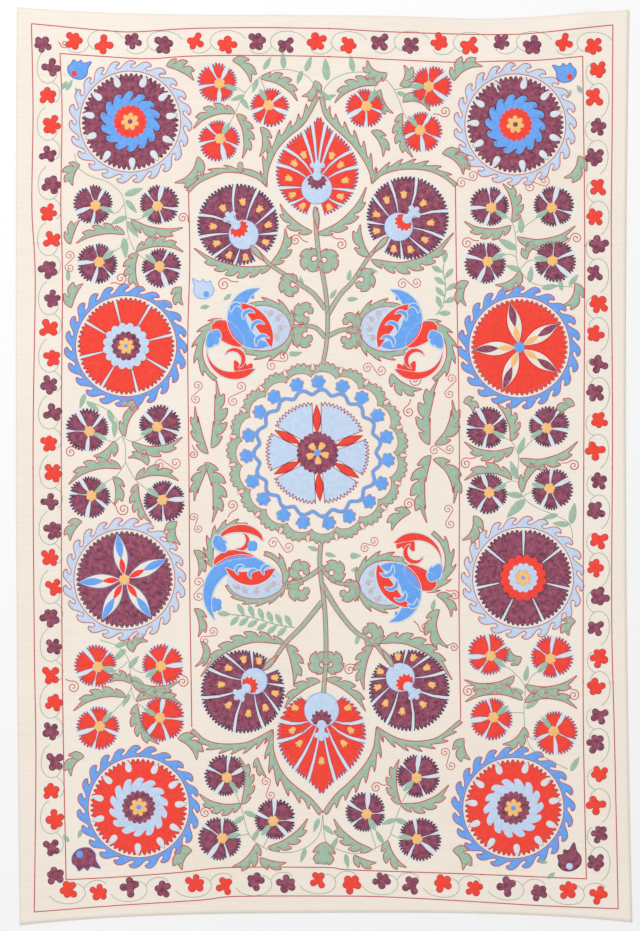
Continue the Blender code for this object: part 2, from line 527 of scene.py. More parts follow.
def allRosettes():
    # the ring of waves and its line, then the flower inside it
    size = rosetteSizes
    for x, y, ring, kind, turn in rosettes:
        waveRing(ring, "outline", x, y, size["base"], size["foot"], size["tip"], size["waves"], turn * 3, -1)
        line("outline", circle(x, y, size["circle"]), width=0.24, lift=0.2, closed=True)
        if kind == "oval plum":
            ovalRosette(x, y, "plum", "blue", "red", turn, -1)
        elif kind == "oval red":
            ovalRosette(x, y, "red", "paleBlue", "plum", turn, -1 if x < 0 else 1)
        elif kind == "sectors red":
            sectorRosette(x, y, "red", "paleBlue", "plum", 8, turn, 7)
        elif kind == "sectors plum":
            sectorRosette(x, y, "plum", "red", "paleBlue", 7, turn, 8)
        elif kind == "star red":
            starRosette(x, y, "red", "plum", "yellow", "blue")
        else:
            starRosette(x, y, "plum", "blue", "red", "yellow")


carnations = [
    # x      y     radius  thread  stem heading
    (-56.0, 63.8, 4.75, "plum", -20), (-40.8, 63.7, 4.75, "plum", 215),
    (-55.1, 50.0, 4.85, "plum", 38), (-40.3, 48.9, 4.75, "plum", 140),
    (-57.5, 8.5, 5.2, "plum", -25), (-40.8, 9.6, 5.0, "plum", 205),
    (-57.0, -7.3, 5.0, "plum", 40), (-39.6, -8.3, 5.0, "plum", 140),
    (-55.4, -49.2, 5.1, "red", -15), (-40.0, -49.1, 5.0, "red", 215),
    (-55.0, -63.8, 5.2, "red", 50), (-40.2, -61.7, 5.4, "red", 150),
    (41.0, 63.3, 4.75, "plum", -35), (55.8, 63.3, 4.85, "plum", 212),
    (40.1, 50.1, 5.0, "plum", 25), (56.0, 50.3, 5.0, "plum", 170),
    (40.4, 9.1, 5.0, "plum", -30), (54.6, 9.3, 4.9, "plum", 210),
    (40.5, -6.5, 4.9, "plum", 25), (55.3, -5.5, 5.0, "plum", 165),
    (40.8, -46.5, 5.0, "red", -38), (55.5, -47.2, 5.1, "red", 228),
    (41.5, -61.6, 5.1, "red", 38), (56.3, -65.0, 5.3, "red", 130),
    (-25.6, 93.7, 4.8, "red", -20), (-13.6, 88.4, 4.7, "red", 118), (-25.4, 80.2, 5.0, "red", 60),
    (25.7, 93.0, 4.9, "red", 180), (10.4, 88.2, 4.7, "red", 60), (23.6, 82.3, 4.9, "red", 130),
    (-23.8, -76.3, 5.0, "plum", -55), (-12.4, -87.0, 4.9, "plum", 230), (-24.9, -91.2, 5.2, "plum", 12),
    (22.7, -76.4, 5.2, "plum", 225), (10.5, -85.3, 4.8, "plum", -62), (22.8, -91.4, 5.2, "plum", 172),
]
carnationSizes = {
    "grow": 1.03,        # the petals' reach over the radius in the table
    "heart": 1.4, "gap": (0.20, 0.60), "toothDepth": 1.1, "toothPitch": 1.0, "shift": 0.65,
    "bounds": (0, 76, 141, 213, 281, 360),     # degrees round from the stem where petals meet
    "stemRoom": 0.12,    # radians left free on either side of the stem
}
petalEdge = {"plum": ("navy", 0.18), "red": ("violet", 0.11)}   # thread and width, in cm


def carnation(x, y, radius, thread, stem, seed):
    # five toothed petals with flaring gaps, the widest for the stem, which has a green calyx in it
    size = carnationSizes
    radius *= size["grow"]
    edgeThread, edgeWidth = petalEdge[thread]
    away = np.radians(stem + 180)
    haloDisc(*polar(x, y, size["shift"], away), radius + 0.1, 36, 0.8)
    sway = np.concatenate([[0], 9 * np.sin(np.arange(1, 5) * 2.4 + seed), [0]])
    bounds = np.radians(stem + np.array(size["bounds"]) + sway)
    bounds[0] += size["stemRoom"]
    bounds[-1] -= size["stemRoom"]
    for k in range(len(bounds) - 1):
        a0, a1 = bounds[k], bounds[k + 1]
        teeth = max(4, int(round((a1 - a0) * radius / size["toothPitch"])))
        sectorPetal(thread, edgeThread, x, y, a0, a1, 0.8, radius, teeth, size["toothDepth"], size["gap"],
                    lift=0.3, shift=(size["shift"], away), bow=0.10 * np.sin(k * 2.2 + seed),
                    edgeWidth=edgeWidth)
    disc("yellow", x, y, size["heart"], lift=0.8, lobes=6, depth=0.3, turn=seed * 40)
    drop("green", *polar(x, y, 1.0, np.radians(stem)), stem, 3.6, 1.5, lift=0.55, blunt=0.85)


def allCarnations():
    # the row number makes each one a little unlike the next
    for seed, (x, y, radius, thread, stem) in enumerate(carnations):
        carnation(x, y, radius, thread, stem, seed)


hookTooth = np.array([
    # one hooked tooth of a long serrated leaf: share of its pitch onward, share of its depth
    (0.00, 0.0), (0.24, 0.16), (0.52, 0.42), (0.80, 0.74), (1.12, 1.0), (0.98, 0.60), (0.86, 0.28),
    (0.88, 0.06), (1.00, 0.0),
])
fingerLobe = np.array([
    # one rounded finger of an acanthus leaf
    (0.00, 0.0), (0.10, 0.34), (0.28, 0.66), (0.56, 0.90), (0.96, 1.0), (1.00, 0.72), (0.86, 0.42),
    (0.82, 0.14), (1.00, 0.0),
])
leafEdge = {"width": 0.34, "step": 0.22}     # cm


def toothRun(share, number, tooth):
    # number teeth along an edge: for each share of the way, where its point falls onward, how high it
    # stands as a share of the teeth's depth, and where the middle of its own tooth is
    which = np.minimum(np.floor(share * number + 1e-6), number - 1)
    within = np.clip(share * number - which, 0, 1)
    marks = np.linspace(0, 1, len(tooth))
    onward = (which + np.interp(within, marks, tooth[:, 0])) / number
    return onward, np.interp(within, marks, tooth[:, 1]), (which + 0.5) / number


def leafBand(points, left, right, teeth=(0, 0), depth=0.55, swell=0.85, fat=0.8, tooth=fingerLobe, reach=1.0,
             fill="green", edge="outline", lift=0.0):
    # a leaf along a curved spine: half-widths swell as a sine, teeth repeat along an edge as far as
    # reach, and past it the leaf tapers to its tip
    path = smooth(points)
    along = arcLength(path)
    out = sideways(path)
    steps = max(16, int(round(toothPoints * max(teeth) / reach)), int(along[-1] / 0.5))
    share = np.linspace(0.0, 1.0, steps + 1)
    edges = []
    for side, width, number in ((1, left, teeth[0]), (-1, right, teeth[1])):
        t, high = share, 0 * share
        if number:
            inReach = share < reach + 1e-6
            onward, high, middle = toothRun(share / reach, number, tooth)
            t = np.where(inReach, onward * reach, share)
            high = np.where(inReach, high * np.sin(np.pi * (0.16 + 0.72 * middle)) ** 0.8, 0)
        t = np.clip(t, 0, 1)
        body = np.sin(np.pi * t**swell) ** fat
        plain = width * body * (1 - depth if number else 1.0)
        at = t * along[-1]
        spine = np.stack([np.interp(at, along, path[:, k]) for k in (0, 1)], axis=1)
        normal = np.stack([np.interp(at, along, out[:, k]) for k in (0, 1)], axis=1)
        edges.append(spine + side * normal * (plain + width * depth * high + 0.03)[:, None])
    fillBand(fill, edges[0], edges[1], lift=lift)
    if edge:
        line(edge, np.vstack([edges[0], edges[1][::-1]]), width=leafEdge["width"], lift=lift, closed=True,
             step=leafEdge["step"])


def stem(points, start, end):
    # a green stem with a stitched outline down both sides, its width changing along it
    path = respace(smooth(points), 0.5)
    half = 0.5 * np.linspace(start, end, len(path))[:, None]
    out = sideways(path)
    left, right = path + out * half, path - out * half
    fillBand("green", left, right, rise=0.55)
    for side in (left, right):
        line("outline", side, width=0.26)


def spiral(x, y, radius, start, hand, turns=1.6):
    # inward spiral: the radius falls steadily while the angle runs on
    share = np.linspace(0.0, 1.0, 26)
    return polar(x, y, radius * (1 - 0.88 * share), np.radians(start) + hand * share * turns * tau)


def tendril(x, y, radius, start, hand, tail, thread="outline", width=0.30, lift=-0.1):
    # a curl with a short tail that runs on from its outer turn
    curl = spiral(x, y, radius, start, hand)
    a = np.radians(start)
    back = -hand * np.array([-np.sin(a), np.cos(a)])
    outward = np.array([np.cos(a), np.sin(a)])
    first = curl[0]
    tip = [first + back * tail * 0.9 + outward * tail * 0.25, first + back * tail * 0.45]
    line(thread, smooth(np.vstack([tip, curl]), 2), width=width, lift=lift)


def curlPair(xa, ya, xb, yb, radius, hand):
    # two curls joined by an S
    facing = np.degrees(np.arctan2(yb - ya, xb - xa))
    first = spiral(xa, ya, radius, facing + hand * 65, hand, 1.5)
    second = spiral(xb, yb, radius, facing + 180 + hand * 65, hand, 1.5)
    line("outline", smooth(np.vstack([first[::-1], second]), 2), width=0.24, lift=-0.1)


def shapeFan(thread, rimPoints, centre, lift=0.0, edge=None):
    # fill of a closed shape that can be seen whole from its centre
    rim = smooth(rimPoints, 5, closed=True)
    centre = np.array(centre, float)
    share = radialRows[None, :, None]
    xy = centre + (rim[:, None, :] - centre) * share
    reach = np.hypot(*(rim - centre).T)
    uv = np.stack([arcLength(rim)[:, None] + 0 * radialRows, reach[:, None] * radialRows], axis=-1)
    addGrid(thread, xy, lift + 0.7 * radialRise[None, :], uv, loop=True)
    if edge:
        line(edge, rim, width=0.2, lift=lift, closed=True, step=0.2)


def plainLeaf(x, y, heading, length, width):
    # a small leaf with no outline, its middle at x, y
    drop("green", *polar(x, y, -0.5 * length, np.radians(heading)), heading, length, width, rise=0.55,
         blunt=0.75)


leafSides = {"lobed": 0.84, "plain": 0.18}      # each side's half-width, as a share of the leaf's width
leafShape = {"depth": 0.64, "fat": 0.9, "reach": 0.8}


def lobed(x0, y0, x1, y1, bow, width, outer, inner=0):
    # a leaf from its base to its tip: the spine bows aside by a share of its length, to the left if
    # bow is over 0, and that side carries the outer lobes
    start, end = np.array([x0, y0]), np.array([x1, y1])
    run = end - start
    aside = np.array([-run[1], run[0]])
    points = [start, start + 0.33 * run + 0.7 * bow * aside, start + 0.70 * run + bow * aside * 0.65, end]
    wide, slim = width * leafSides["lobed"], width * leafSides["plain"]
    if bow >= 0:
        leafBand(points, wide, slim, (outer, inner), **leafShape)
    else:
        leafBand(points, slim, wide, (inner, outer), **leafShape)


curled = {
    "hole": 0.17, "body": 0.40, "lobe": 0.17,    # shares of the leaf's size
    "lobes": 5, "sweep": 300, "edge": 0.32,      # how many, degrees round the hole, cm
}


def curlLeaf(x, y, heading, size, hand):
    # a leaf that curls round a small hole: the inner edge is a circle about it, and the outer edge
    # swells as a sine with lobes on it, from the base at x, y on round to a pointed tip
    a = np.radians(heading + 12 * hand)
    hole = curled["hole"] * size
    middle = polar(x, y, 1.35 * hole, a)
    share = np.linspace(0.0, 1.0, curled["lobes"] * toothPoints + 1)
    onward, high, lobeAt = toothRun(share, curled["lobes"], fingerLobe)
    t = np.clip(onward, 0, 1)
    body = np.sin(np.pi * t**0.85) ** 0.75
    high = high * np.sin(np.pi * (0.15 + 0.7 * lobeAt))
    start = a + np.pi + 0.25 * hand
    sweep = hand * np.radians(curled["sweep"])
    outer = hole * (1.05 + 0.1 * t) + curled["body"] * size * body + curled["lobe"] * size * high
    left = polar(*middle, outer, start + sweep * t)
    right = polar(*middle, hole * (1.0 - 0.35 * share), start + sweep * share)
    fillBand("green", left, right)
    line("outline", np.vstack([left, right[::-1]]), width=curled["edge"], closed=True, step=leafEdge["step"])


# lobes are rows of angle, reach and lobe radius
tulipLobes = [(0, 1.0, 0.22), (44, 0.95, 0.24), (-44, 0.95, 0.24), (180, 0.7, 0.5)]
crownLobes = [(0, 0.9, 0.34), (76, 1.0, 0.36), (-76, 1.0, 0.36), (180, 0.9, 0.4)]
# each gap between petals: degrees off the heading at the ring, and at the rim
plumGaps = [(10, 28), (48, 56), (88, 87), (127, 125), (168, 168)]
redUpGaps = [(1.5, 4.5), (9, 17), (20, 40), (45, 62), (88, 90), (128, 122), (163, 163)]
redDownGaps = [(5, 8.5), (17, 27), (32, 52), (50, 78), (122, 123)]
# drop-shaped rims, in cm from the ring's centre
upperRim = {"back": 6.9, "front": 14.1, "tip": 3.9}
lowerRim = {"back": 4.9, "front": 16.8, "tip": 4.2}
palmettes = [
    # ring x, y, radius, rim centre x, y, half width, half height, heading, thread, gaps, drop-shaped rim
    (-19.7, 56.7, 3.7, -21.1, 59.2, 10.0, 10.0, 128, "plum", plumGaps, None),
    (18.3, 58.6, 3.55, 20.5, 60.8, 10.1, 10.2, 44, "plum", plumGaps, None),
    (-17.1, -52.7, 3.3, -19.9, -55.3, 10.3, 10.2, 223, "plum", plumGaps, None),
    (18.7, -51.8, 3.6, 20.9, -55.0, 9.9, 10.0, -50, "plum", plumGaps, None),
    (-1.8, 68.0, 3.8, -1.5, 73.3, 9.9, 12.0, 88, "red", redUpGaps, upperRim),
    (-0.6, -59.8, 4.3, 0.0, -68.2, 10.5, 12.2, -90, "red", redDownGaps, lowerRim),
]
palmetteSizes = {
    "gap": (0.18, 0.48), "toothPitch": 1.08, "toothDepth": 1.15,
    "tulip": 1.2, "tulipRoom": 16,     # degrees that a petal spans before it has a tulip
    "edge": {"plum": ("navy", 0.20), "red": ("violet", 0.12)},
}


def palmette(cx, cy, ring, ox, oy, wide, high, heading, thread, gaps, profile, seed):
    # toothed petals that fan out from a pale ring, a tulip on each wide one, and a crown past the ring
    size = palmetteSizes
    edgeThread, edgeWidth = size["edge"][thread]
    h = np.radians(heading)

    def rimAt(theta):
        # distance from the ring's centre to the rim along each ray: an oval, or a drop, whose radius
        # falls from front to back as the cube of the cosine of half the angle, with a tip that fades out
        if profile:
            off = np.abs((np.degrees(theta) - heading + 180) % 360 - 180)
            fall = np.cos(np.radians(off / 2)) ** 3
            return (profile["back"] + (profile["front"] - profile["back"]) * fall
                    + profile["tip"] * np.exp(-off / 9))
        ux, uy = np.cos(theta) / wide, np.sin(theta) / high
        dx, dy = (cx - ox) / wide, (cy - oy) / high
        half = ux * dx + uy * dy
        square = ux**2 + uy**2
        return (-half + np.sqrt(np.maximum(half**2 - square * (dx**2 + dy**2 - 1), 0.0))) / square

    # the whitish ground that shows in the gaps
    stemGap = gaps[-1][1]
    angle = h + np.radians(np.linspace(-stemGap, stemGap, 181))
    notch = ragged(np.linspace(0, 60, 181), 0.35, 2.0)
    ground = rimAt(angle) + 0.15 - 0.35 * (1 - notch)
    fillPolar("ice", cx, cy, angle, 0 * angle, ground, rise=0.35, loop=False)
    # the petals, and a tulip on each wide one
    bounds = [(-a, -b) for a, b in gaps[::-1]] + list(gaps)
    rows = np.array([0.0, 0.06, 0.3, 0.6, 0.9, 1.0])
    section = np.array([0.7, 1, 1, 1, 0.9, sunk])
    for k in range(len(bounds) - 1):
        (a0, a1), (b0, b1) = bounds[k], bounds[k + 1]
        a1 += 2.5 * np.sin(3.1 * k + seed)
        b1 += 2.5 * np.sin(3.1 * (k + 1) + seed)
        reach = float(rimAt(np.radians(heading + 0.5 * (a1 + b1))))
        teeth = max(2, int(round(np.radians(b1 - a1) * reach / size["toothPitch"])))
        gap = (size["gap"][0] + (size["gap"][1] - size["gap"][0]) * rows) / (ring + (reach - ring) * rows)
        low = np.radians(heading + a0 + (a1 - a0) * rows) + gap
        far = np.radians(heading + b0 + (b1 - b0) * rows) - gap
        u = np.linspace(0.0, 1.0, teeth * toothPoints + 1)
        theta = low[None, :] + (far - low)[None, :] * u[:, None]
        uneven = 0.85 + 0.25 * np.sin(u * 9 + k) ** 2
        rim = rimAt(theta[:, -1])
        rim = rim - size["toothDepth"] * (1 - ragged(u * teeth + 0.5, 1.0, toothSharp)) * uneven
        radius = (ring - 0.1) + (rim - ring + 0.1)[:, None] * rows[None, :]
        petal(thread, edgeThread, cx, cy, radius, theta, section, 6.0, 0.3, edgeWidth)
        if b1 - a1 > size["tulipRoom"]:
            mid = 0.5 * (low[3] + far[3])
            x, y = polar(cx, cy, ring + 0.48 * (float(rimAt(mid)) - ring), mid)
            tilt = 12 * np.sin(k * 2.7 + seed)
            tulip = blob("yellow", x, y, size["tulip"], np.degrees(mid) + tilt, tulipLobes, core=0.55,
                         lift=0.9)
            line("ochreLine", tulip, width=0.10, lift=0.8, closed=True, step=0.25)
    # the ring, a toothed half moon in it, and the knob, tongue and crown along the heading
    line("blue", disc("paleBlue", cx, cy, ring, lift=0.6), width=0.10, lift=0.6, closed=True)
    knob = polar(cx, cy, ring - 0.7, h)
    span = np.radians(heading + 180 + np.linspace(-88, 88, 55))
    taper = np.sin(np.linspace(0.08, np.pi - 0.08, 55)) ** 0.5
    outer = 1.1 + (ring * 0.66) * taper * ragged(np.linspace(0, 8, 55) + 0.5, 0.30)
    moon = "red" if thread == "plum" else "plum"
    fillPolar(moon, *knob, span, 0 * span + 1.15, outer, lift=1.0, loop=False)
    disc("paleBlue", *knob, 1.2, lift=1.0)
    drop("paleBlue", *knob, heading, 2.6, 1.3, lift=1.1, blunt=1.0)
    blob("paleBlue", *polar(cx, cy, ring + 1.6, h), 1.9, heading, crownLobes, core=0.5, lift=1.1)


def allPalmettes():
    # the row number makes each one a little unlike the next
    for seed, row in enumerate(palmettes):
        palmette(*row, seed)


def ogeeFrame():
    # pointed frame of serrated leaves at either end, and the two upright lines that join them
    leftLine = [(-33.2, 67.0), (-32.9, 50), (-33.4, 30), (-33.1, 0), (-32.9, -30), (-32.6, -50), (-32.4, -64)]
    rightLine = [(32.2, 68.3), (32.5, 45), (33.0, 20), (33.2, -5), (33.1, -35), (33.5, -62)]
    for points in (leftLine, rightLine):
        line("outline", smooth(points), width=frameWidth)
    serrated = {"depth": 0.56, "fat": 0.42, "tooth": hookTooth}
    # upper arms from their cusps to the point, then the arches over the upper palmettes
    leafBand([(-14.0, 68.4), (-14.0, 71), (-13.3, 74), (-11.6, 77.6), (-8.6, 80.9), (-4.8, 84.2),
              (-1.2, 90.4)], 2.7, 0.15, (8, 0), swell=1.0, **serrated)
    leafBand([(11.7, 69.2), (11.3, 71.8), (9.8, 75), (6.9, 79), (2.7, 83), (0.2, 86), (-1.1, 90.4)],
             0.15, 2.7, (0, 8), swell=1.0, **serrated)
    leafBand([(-20.4, 71.9), (-24.3, 72.1), (-27.8, 70.9), (-30.9, 69.3), (-33.2, 67.0)],
             0.15, 1.9, (0, 4), swell=0.75, **serrated)
    leafBand([(-14.0, 68.4), (-15.9, 70.3), (-18.0, 71.2), (-20.6, 71.9)], 0.15, 1.9, (0, 1), swell=0.8,
             tooth=hookTooth)
    edge = blob("green", -20.5, 73.0, 1.5, 90, [(0, 1, 0.45), (180, 0.9, 0.4)], core=0.5)
    line("outline", edge, width=0.2, closed=True)
    leafBand([(11.7, 69.2), (14.1, 71.4), (18.2, 72.7), (22.4, 72.9), (26.5, 72.2), (30.1, 70.3),
              (32.2, 68.3)], 2.4, 0.15, (8, 0), swell=0.7, **serrated)
    # lower leaves out to the corners, then the arms down to the point
    leafBand([(-12.5, -64.6), (-15.4, -66.3), (-18.9, -67.9), (-22.4, -68.3), (-26.4, -68.1), (-29.4, -67),
              (-32.2, -64.4)], 2.4, 0.15, (8, 0), swell=0.7, **serrated)
    leafBand([(12.9, -63.9), (15.1, -65.4), (18.1, -66.9), (21.6, -67.6), (25.3, -67.4), (28.6, -66.2),
              (33.4, -62.2)], 0.15, 2.4, (0, 8), swell=0.7, **serrated)
    leafBand([(-12.5, -64.6), (-12.5, -69.6), (-11.1, -73.8), (-9.2, -76.6), (-6.6, -79), (-3.4, -81.4),
              (-0.3, -84.9)], 0.15, 2.9, (0, 8), swell=1.0, **serrated)
    leafBand([(12.9, -63.9), (12.3, -68.9), (10.8, -72.2), (8.8, -74.9), (6.1, -77.8), (2.8, -80.8),
              (-0.3, -84.9)], 2.9, 0.15, (8, 0), swell=1.0, **serrated)


medallion = {
    "x": -1.6, "y": 3.2, "leaves": 19, "leafOuter": 22.3, "scallopPeak": 20.0, "scallopCusp": 18.6,
    "vine": 14.9, "floret": 17.2, "stalkFoot": 15.0, "flower": 12.7, "disc": 5.3,
    "spokes": (91, 152, 206, 273, 329, 381),     # degrees of the gaps between the petals
    "turn": 9.8,         # degrees of the first floret
    "dip": 2.0, "lobes": 5, "lobe": 0.8,         # outer edge of a leaf: how far its ends draw in, its lobes
    "keyhole": 2.2,      # cm in from the leaves' outer edge
}


def medallionRing():
    # green leaves end to end: scalloped inside round each floret, lobed outside, a keyhole between them
    m = medallion
    count = m["leaves"] * 40
    p = np.arange(count) / 40.0
    a = np.radians(m["turn"]) + (p - 0.5) * tau / m["leaves"]
    scallop = m["scallopCusp"] + (m["scallopPeak"] - m["scallopCusp"]) * np.abs(np.sin(np.pi * p)) ** 0.6
    along = (p + 0.10) % 1.0
    bulge = np.sin(np.pi * along) ** 0.5
    small = np.abs(np.sin(np.pi * along * m["lobes"])) ** 0.7 * m["lobe"]
    outer = m["leafOuter"] - m["dip"] * (1 - bulge) - 0.7 + small
    fillPolar("green", m["x"], m["y"], a, scallop, outer, rise=0.6)
    for radius in (scallop, outer):
        line("outline", polar(m["x"], m["y"], radius, a), closed=True, step=leafEdge["step"])
    for k in range(m["leaves"]):
        theta = np.radians(m["turn"]) + (k + 0.40) * tau / m["leaves"]
        at = polar(m["x"], m["y"], m["leafOuter"] - m["keyhole"], theta)
        hole = drop("cream", *at, np.degrees(theta), 2.1, 1.15, lift=0.5, rise=0.3, blunt=0.55)
        line("outline", np.roll(hole, dropSteps, axis=0)[2:-2], width=0.24, lift=0.6, step=0.2)


floretLobes = [(0, 1.0, 0.27), (46, 0.98, 0.27), (-46, 0.98, 0.27), (94, 0.92, 0.28), (-94, 0.92, 0.28)]


def medallionVine():
    # a garland: the radius is an arch between florets, which stand on stalks where the arches meet
    m = medallion
    count = m["leaves"] * 16
    p = np.arange(count) / 16.0
    a = np.radians(m["turn"]) + p * tau / m["leaves"]
    radius = m["vine"] - 0.55 + 1.3 * np.abs(np.cos(np.pi * p)) ** 1.6
    path = polar(m["x"], m["y"], radius, a)
    out = sideways(path, True)
    left, right = path + out * 0.42, path - out * 0.42
    fillBand("blue", np.vstack([left, left[:1]]), np.vstack([right, right[:1]]))
    for side in (left, right):
        line("ochreLine", side, width=0.18, lift=-0.2, closed=True)
    for k in range(m["leaves"]):
        theta = np.radians(m["turn"]) + k * tau / m["leaves"]
        tilt = 0.05 + 0.02 * np.sin(3.3 * k)
        x, y = polar(m["x"], m["y"], m["floret"], theta + tilt)
        edge = blob("blue", x, y, 2.0, np.degrees(theta) + 32 + 7 * np.sin(k), floretLobes, core=0.68)
        line("ochreLine", edge, width=0.18, lift=-0.2, closed=True, step=0.22)
        foot = polar(m["x"], m["y"], m["stalkFoot"], theta - 0.01)
        drop("blue", *foot, np.degrees(np.arctan2(y - foot[1], x - foot[0])), 2.6, 1.25, blunt=0.9)


def medallionFlower():
    # six pale petals with a slim red one in each gap, round a plum disc with a five-petalled flower
    m = medallion
    spokes = np.radians(np.array(m["spokes"], float))
    for k in range(6):
        a0, a1 = spokes[k], spokes[(k + 1) % 6] + (tau if k == 5 else 0.0)
        teeth = int(round((a1 - a0) * 12.3 / 1.15))
        sectorPetal("paleBlue", "deepRed", m["x"], m["y"], a0, a1, 4.6, m["flower"], teeth, 1.0, (1.05, 1.15),
                    edgeWidth=0.24)
        almond("red", m["x"], m["y"], np.degrees(a0), 4.8, 11.9, 1.9, 0.3, edge="navy", edgeWidth=0.12)
    disc("plum", m["x"], m["y"], m["disc"], lift=0.5, lobes=24, depth=0.5)
    for k in range(5):
        heading = 58 + k * 72
        edge = blob("yellow", *polar(m["x"], m["y"], 1.75, np.radians(heading)), 1.15, heading,
                    [(30, 1, 0.45), (-30, 1, 0.45), (180, 1.0, 0.3)], core=0.6, lift=1.0)
        line("ochreLine", edge, width=0.1, lift=0.9, closed=True, step=0.25)
    disc("blue", m["x"], m["y"], 0.85, lift=1.5)


def arc(cx, cy, wide, a0, a1, high=None, count=7):
    # points round an ellipse from angle a0 to a1; a circle if high is left out
    a = np.radians(np.linspace(a0, a1, count))
    return np.stack([cx + wide * np.cos(a), cy + (high or wide) * np.sin(a)], axis=1)


silkBand = {"edge": "ice", "swell": 1.15, "fat": 0.7}                        # smooth band of a bird
rimBand = {"depth": 0.55, "swell": 0.8, "fat": 0.5, "tooth": hookTooth}      # toothed green rim round it
scroll = {"thread": "ochreLine", "width": 0.16, "lift": 1.0}                 # curls on its belly


def peacock(x, y, flipX=1, flipY=1, size=1.0):
    # a paisley bird of bands along arcs: toothed green rims, a round belly with scrolls, a blue neck
    # crescent, a red plume with hooks along it, a breast in two colours, and a tail with fingers
    def at(points):
        # the bird's own points, flipped and put in place
        return turned(np.asarray(points, float) * [flipX, flipY], x, y, 0.0, size)

    hand = flipX * flipY

    def band(points, left, right, teeth=(0, 0), **more):
        # a band in place: a mirrored bird has its left and right edges the other way round
        if hand < 0:
            left, right, teeth = right, left, teeth[::-1]
        leafBand(at(points), left, right, teeth, **more)

    band(arc(4.0, 0.6, 7.0, 2, 118, 6.0), 0.3, 2.0, (0, 4), **rimBand)
    band(arc(4.0, 0.9, 7.0, -2, -152, 6.1), 2.1, 0.3, (6, 0), **rimBand)
    band(arc(-3.4, -4.8, 7.8, 105, 240), 0.3, 2.4, (0, 6), **rimBand)
    shapeFan("paleBlue", at(arc(4.0, 0.9, 6.7, 0, 330, 5.6, 12)), at([(4.0, 0.9)])[0], lift=0.25)
    for spot in arc(3.6, 0.9, 4.7, 62, -34, 4.2, 4):
        tendril(*at([spot])[0], 0.75 * size, 200 - 60 * spot[0], hand, 1.2, **scroll)
    band(arc(3.4, 3.4, 7.2, 92, 290, count=9), 3.9, 1.1, fill="blue", lift=0.6, **silkBand)
    for heading in (-100, -55):
        quill = at([(0.3, 9.9), polar(0.3, 9.9, 1.0, np.radians(heading))])
        ahead = quill[1] - quill[0]
        drop("blue", *quill[0], np.degrees(np.arctan2(ahead[1], ahead[0])), 2.4 * size, 1.1, lift=0.5,
             blunt=1.3)
    band(arc(-3.4, -2.6, 9.6, 86, -8), 0.6, 3.0, fill="red", lift=1.0, **silkBand)
    for k, (hx, hy) in enumerate(arc(-3.4, -2.6, 9.5, 74, 8, count=4)):
        hook = 1.5 + 0.16 * k
        band(arc(hx - 0.9 - 0.5 * hook, hy - 0.87 * hook, hook, 40, 200, count=4), 0.5, 0.5, fill="blue",
             lift=1.5, **silkBand)
    band([(-8.6, 1.6), (-5.2, 0.0), (-0.8, -3.5)], 2.5, 2.5, fill="red", edge="ice", lift=0.4, swell=0.8,
         fat=0.5)
    band([(-6.9, 0.4), (-8.3, -1.8), (-9.9, -3.9)], 1.9, 1.7, (3, 0), fill="blue", edge="ice", lift=0.7,
         depth=0.3)
    band(arc(-3.0, -4.6, 6.9, 166, 318), 1.7, 0.3, fill="red", edge="ice", lift=0.4, swell=2.2, fat=0.7)
    band(arc(-3.4, -7.0, 2.3, -60, 150), 0.3, 0.9, fill="red", edge="ice", lift=0.5)
    for heading, length, base in ((100, 3.4, 276), (78, 3.0, 286), (52, 2.6, 296)):
        foot = polar(-3.0, -4.6, 5.9, np.radians(base))
        reach = polar(0, 0, length, np.radians(heading))
        band([foot, foot + 0.55 * reach + [0.25, 0.1], foot + reach], 0.75, 0.75, fill="red", edge=None,
             lift=0.45, fat=0.5)


def lowerLeftBird():
    # the odd one of the four: its head hangs over its back and its tail hangs down
    leafBand(arc(-20.6, -21.6, 6.9, 210, 75), 2.5, 0.3, (7, 0), **rimBand)
    leafBand(arc(-16.7, -28.0, 7.2, -8, -168, 4.9), 1.5, 0.3, (6, 0), **rimBand)
    leafBand(arc(-15.4, -27.6, 5.6, -14, 84, 5.8), 0.3, 2.0, (0, 3), **rimBand)
    shapeFan("paleBlue", arc(-17.0, -28.2, 6.8, 0, 330, 4.4, 12), (-17.0, -28.2), lift=0.25)
    for k, (px, py) in enumerate(arc(-17.0, -28.6, 4.6, 205, 350, 2.3, 5)):
        tendril(px, py, 0.7, 200 - 40 * k, 1, 1.0, **scroll)
    leafBand(arc(-20.0, -31.6, 9.2, 222, 28, count=9), 0.7, 3.0, fill="blue", lift=0.6, **silkBand)
    leafBand(arc(-18.0, -21.6, 7.0, 208, 330), 2.9, 0.7, fill="red", lift=1.1, **silkBand)
    for hx, hy in arc(-18.0, -21.6, 5.7, 236, 304, count=3):
        leafBand(arc(hx + 1.0, hy + 0.6, 1.3, 230, 60, count=4), 0.45, 0.45, fill="blue", lift=1.6,
                 **silkBand)
    leafBand([(-26.9, -24.4), (-25.0, -22.8), (-21.9, -21.9), (-17.0, -22.2)], 1.5, 1.0, fill="red", lift=0.5,
             edge="ice", swell=0.7, fat=0.6)
    leafBand([(-26.6, -17.0), (-25.6, -19.2), (-24.2, -21.2)], 1.9, 1.5, (3, 0), fill="blue", lift=0.7,
             edge="ice", depth=0.3)
    leafBand(arc(-20.4, -19.0, 5.6, 170, 8, 4.2), 0.5, 1.5, fill="red", lift=0.5, **silkBand)
    leafBand(arc(-21.0, -18.2, 2.1, 60, -110), 0.8, 0.3, fill="red", lift=0.5, **silkBand)
    disc("blue", -17.6, -19.6, 1.4, lift=0.7, lobes=4, depth=0.3)
    disc("blue", -26.8, -34.0, 1.9, lift=0.4, lobes=5, depth=0.4)


